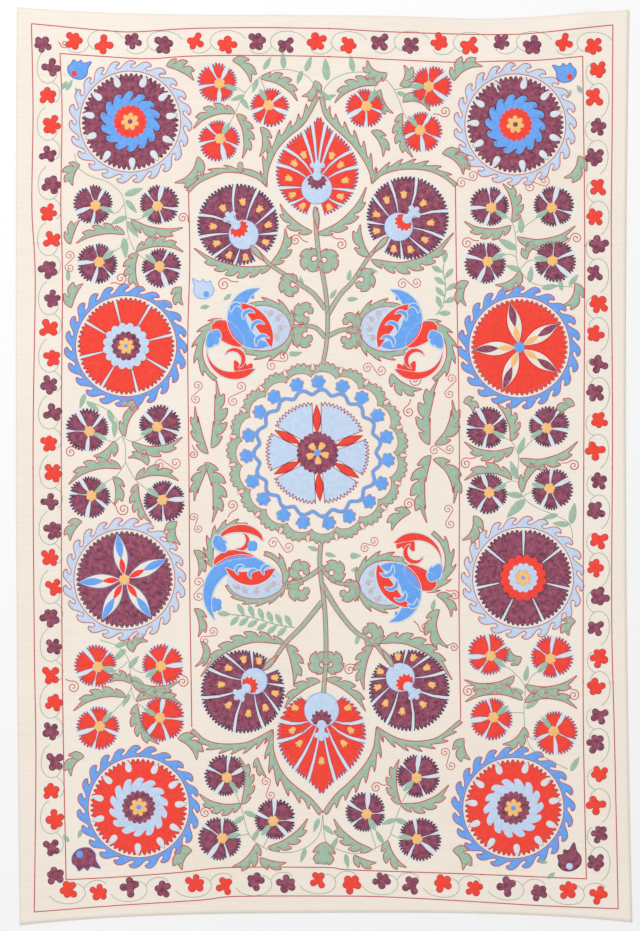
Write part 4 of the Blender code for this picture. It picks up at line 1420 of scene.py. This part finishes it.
def cottonMaterial():
    # plain weave: fine ribs both ways, and uneven slubs along the weft a shade darker
    material, tree, shader = newMaterial("cotton")
    place = put(tree, "ShaderNodeTexCoord").outputs["Object"]
    ribs = []
    for direction in ("X", "Y"):
        wave = put(tree, "ShaderNodeTexWave", {"bands_direction": direction}, Vector=place,
                   Scale=tau / (20 * cotton["threadPitch"]), Distortion=1.2, Detail=1.0)
        ribs.append(wave.outputs["Fac"])
    weave = combine(tree, "ADD", *ribs)
    slubs = put(tree, "ShaderNodeMapping", Vector=place, Scale=(14.0, 160.0, 1.0)).outputs["Vector"]
    slubNoise = put(tree, "ShaderNodeTexNoise", Vector=slubs, Scale=1.0, Detail=3.0)
    soft = put(tree, "ShaderNodeTexNoise", Vector=place, Scale=2.2, Detail=2.0)
    worn = mottled(tree, slubNoise.outputs["Fac"], soft.outputs["Fac"], (0.35, linear(cotton["slub"])),
                   (0.60, linear(cotton["colour"])))
    finish(tree, shader, worn, weave, 0.12, 0.0002, cottonFinish)
    return material


weld = 0.00002           # m: points of a piece closer than this become one


def newPiece(name, points, faces, uv=None):
    # a mesh object from whole arrays of points, quads and, for stitching, its own UV map
    mesh = bpy.data.meshes.new(name)
    mesh.vertices.add(len(points))
    mesh.vertices.foreach_set("co", points.astype(np.float32).ravel())
    mesh.loops.add(faces.size)
    mesh.loops.foreach_set("vertex_index", faces.astype(np.int32).ravel())
    mesh.polygons.add(len(faces))
    mesh.polygons.foreach_set("loop_start", (np.arange(len(faces)) * 4).astype(np.int32))
    mesh.update(calc_edges=True)
    if uv is not None:
        layer = mesh.uv_layers.new(name="stitch")
        layer.data.foreach_set("uv", uv[faces.ravel()].astype(np.float32).ravel())
    grid = bmesh.new()
    grid.from_mesh(mesh)
    bmesh.ops.remove_doubles(grid, verts=grid.verts, dist=weld)
    grid.to_mesh(mesh)
    grid.free()
    mesh.shade_smooth()
    piece = bpy.data.objects.new(name, mesh)
    bpy.context.scene.collection.objects.link(piece)
    return piece


def groundCloth():
    # the cotton sheet: a fine grid over the outline, raised on the folds and creases
    across, up = np.meshgrid(np.linspace(0, 1, clothSize["across"] + 1),
                             np.linspace(0, 1, clothSize["up"] + 1))
    x, y = outline(across, up)
    x, y = x - (x.max() + x.min()) / 2, y - (y.max() + y.min()) / 2
    points = np.stack([x, y, underside(x, y)], axis=-1).reshape(-1, 3)
    index = np.arange(x.size).reshape(x.shape)
    faces = np.stack([index[:-1, :-1], index[:-1, 1:], index[1:, 1:], index[1:, :-1]], -1).reshape(-1, 4)
    cloth = newPiece("cotton_cloth", points, faces)
    body = cloth.modifiers.new("thickness", "SOLIDIFY")
    body.thickness = clothSize["thickness"]
    body.offset = 1.0
    cloth.data.materials.append(cottonMaterial())
    return cloth


def stitchedPieces():
    # one piece for each thread, its points at their heights over the top of the cloth
    made = []
    for thread, store in threads.items():
        slot, hexCode, mottle, look = silks[thread]
        xy = np.concatenate(store["xy"]) * cm
        height = np.concatenate(store["height"]) * mm
        z = underside(xy[:, 0], xy[:, 1]) + clothSize["thickness"] + height
        points = np.column_stack([xy, z])
        name = "stitch_" + "".join("_" + c.lower() if c.isupper() else c for c in thread)
        piece = newPiece(name, points, np.concatenate(store["faces"]), np.concatenate(store["uv"]))
        piece.data.materials.append(silkMaterial(thread, hexCode, mottle, look))
        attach(piece, "root")
        print(name, "triangles", sum(len(p.vertices) - 2 for p in piece.data.polygons))
        made.append(piece)
    return made


studio = {
    "lens": 120.0, "sensor": 36.0, "frameHeight": 2.282, "aside": -0.0098, "ahead": 0.0012,
    "floor": 6.0, "floorGap": 0.0004, "floorGrey": 0.93, "world": 0.80,
    "key": 125.0, "keyAt": (-2.6, 3.4, 5.0), "keySize": 3.0,
}


def areaLight(name, at, size, power):
    # a round soft light, turned to face the middle of the cloth
    data = bpy.data.lights.new(name, "AREA")
    data.shape, data.size, data.energy = "DISK", size, power
    lamp = bpy.data.objects.new(name, data)
    lamp.location = at
    direction = -np.array(at)
    lamp.rotation_euler = (np.arctan2(np.hypot(direction[0], direction[1]), -direction[2]), 0.0,
                           np.arctan2(direction[1], direction[0]) - np.pi / 2)
    bpy.context.scene.collection.objects.link(lamp)


def makeStudio():
    # camera straight over the cloth, pale floor, even sky and one soft key light
    scene = bpy.context.scene
    data = bpy.data.cameras.new("camera")
    data.lens, data.sensor_width = studio["lens"], studio["sensor"]
    camera = bpy.data.objects.new("camera", data)
    camera.location = (studio["aside"], studio["ahead"],
                       studio["frameHeight"] * studio["lens"] / studio["sensor"])
    scene.collection.objects.link(camera)
    scene.camera = camera
    bpy.ops.mesh.primitive_plane_add(size=2 * studio["floor"], location=(0, 0, -studio["floorGap"]))
    floor = bpy.context.active_object
    floor.name = "floor"
    material, _, shader = newMaterial("floor")
    shader.inputs["Base Color"].default_value = (*[studio["floorGrey"]] * 3, 1.0)
    shader.inputs["Roughness"].default_value = 0.9
    floor.data.materials.append(material)
    world = scene.world or bpy.data.worlds.new("studio")
    scene.world = world
    world.use_nodes = True
    sky = world.node_tree.nodes["Background"]
    sky.inputs["Color"].default_value = (1.0, 1.0, 1.0, 1.0)
    sky.inputs["Strength"].default_value = studio["world"]
    areaLight("key", studio["keyAt"], studio["keySize"], studio["key"])
    scene.view_settings.view_transform = "Standard"


makeStudio()
print("studio ready")
frameAndBorder()
print("border drawn")
allRosettes()
allCarnations()
print("flowers drawn")
allPalmettes()
ogeeFrame()
medallionRing()
medallionVine()
medallionFlower()
middlePanel()
print("middle panel drawn")
sidesAndEnds()
print("sides and ends drawn")
clothPiece = groundCloth()
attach(clothPiece, "root")
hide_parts("ground_cloth")
stitched = stitchedPieces()
print("pieces made:", len(stitched) + 1)
